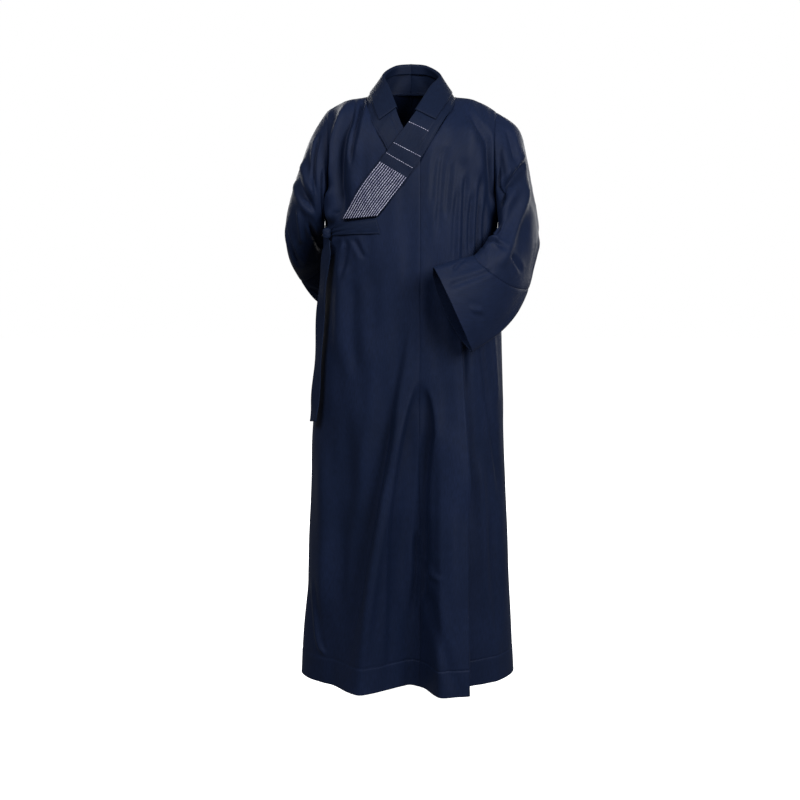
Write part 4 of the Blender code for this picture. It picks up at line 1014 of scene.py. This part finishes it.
# Points between the poles come first, ring by ring, then the lower and the upper pole.
rings, columns = grid.shape[0] - 2, grid.shape[1]
points = np.concatenate([grid[1:-1].reshape(-1, 3), grid[:1, 0], grid[-1:, 0]])
row = np.arange(rings - 1)[:, None] * columns
column = np.arange(columns)
beside = (column + 1) % columns
walls = np.stack([row + column, row + beside, row + columns + beside, row + columns + column], axis=-1)
low = np.stack([beside, column, np.full(columns, rings * columns)], axis=-1)
top = (rings - 1) * columns
high = np.stack([top + column, top + beside, np.full(columns, rings * columns + 1)], axis=-1)
mesh = bpy.data.meshes.new("tie_knot_lump")
mesh.from_pydata(points.tolist(), [], walls.reshape(-1, 4).tolist() + low.tolist() + high.tolist())
corners = np.empty(len(mesh.loops), np.int32)
mesh.loops.foreach_get("vertex_index", corners)
wound = np.stack([knot_radii[0] * (angle + 0.0 * turn), knot_radii[2] * (turn + 0.0 * angle)], axis=-1)
wound = np.concatenate([wound[1:-1].reshape(-1, 2), wound[:1, 0], wound[-1:, 0]])
mesh.uv_layers.new(name="cloth").data.foreach_set("uv", wound[corners].reshape(-1).astype(np.float32))
mesh.materials.append(tie_cloth)
mesh.shade_smooth()
knot = bpy.data.objects.new("tie_knot_lump", mesh)
bpy.context.scene.collection.objects.link(knot)
stands_for(knot, "tie_knot")

# ---- Studio --------------------------------------------------------------------------------------------
# A plain white floor below the hem, a white surround, and two soft boxes before the robe and two behind
# it. The floor is seen, but throws no light of its own up into the dark cloth.
FLOOR_HEIGHT = -1.47
FILL = 0.19
CAMERA_PLACE = (-0.025, -3.3, -0.17)
CAMERA_PITCH = 8.955
CAMERA_LENS = 65.94

bpy.ops.mesh.primitive_plane_add(size=16.0, location=(0.0, 0.0, FLOOR_HEIGHT))
floor = bpy.context.object
floor.name = "studio_floor"
paper = bpy.data.materials.new("white_paper_sweep")
paper.use_nodes = True
paper.node_tree.nodes["Principled BSDF"].inputs["Base Color"].default_value = linear("#f4f4f4")
paper.node_tree.nodes["Principled BSDF"].inputs["Roughness"].default_value = 0.9
paper.node_tree.nodes["Principled BSDF"].inputs["Emission Color"].default_value = (1.0, 1.0, 1.0, 1.0)
paper.node_tree.nodes["Principled BSDF"].inputs["Emission Strength"].default_value = 0.82
floor.data.materials.append(paper)
floor.visible_diffuse = False
floor.visible_glossy = False

world = bpy.data.worlds.new("white_surround")
world.use_nodes = True
surround = world.node_tree
seen = surround.nodes.new("ShaderNodeLightPath")
strength = surround.nodes.new("ShaderNodeMapRange")
strength.inputs["To Min"].default_value = FILL
strength.inputs["To Max"].default_value = 1.0
surround.links.new(seen.outputs["Is Camera Ray"], strength.inputs["Value"])
surround.links.new(strength.outputs["Result"], surround.nodes["Background"].inputs["Strength"])
surround.nodes["Background"].inputs["Color"].default_value = (1.0, 1.0, 1.0, 1.0)
bpy.context.scene.world = world


def soft_box(name, place, target, size, power):
    """A square area light that looks from its place to its target."""
    light = bpy.data.lights.new(name, "AREA")
    light.size = size
    light.energy = power
    lamp = bpy.data.objects.new(name, light)
    lamp.location = place
    direction = np.array(place) - np.array(target)
    level = np.hypot(direction[0], direction[1])
    lamp.rotation_euler = (np.arctan2(level, direction[2]), 0.0, np.arctan2(direction[0], -direction[1]))
    bpy.context.scene.collection.objects.link(lamp)


soft_box("key_box", (-1.6, -2.4, 1.9), (0.0, 0.0, -0.4), 1.5, 92.0)
soft_box("side_box", (1.9, -2.3, 0.8), (0.0, 0.0, -0.5), 1.4, 108.0)
soft_box("back_box", (-1.3, 3.0, 0.6), (0.0, 0.0, -0.5), 1.6, 58.0)
soft_box("far_box", (1.5, 2.8, 0.2), (0.0, 0.0, -0.6), 1.6, 40.0)

view = bpy.data.cameras.new("front_camera")
view.lens = CAMERA_LENS
camera = bpy.data.objects.new("front_camera", view)
camera.location = CAMERA_PLACE
camera.rotation_euler = (np.radians(90.0 - CAMERA_PITCH), 0.0, 0.0)
bpy.context.scene.collection.objects.link(camera)
bpy.context.scene.camera = camera
bpy.context.scene.view_settings.view_transform = "Standard"
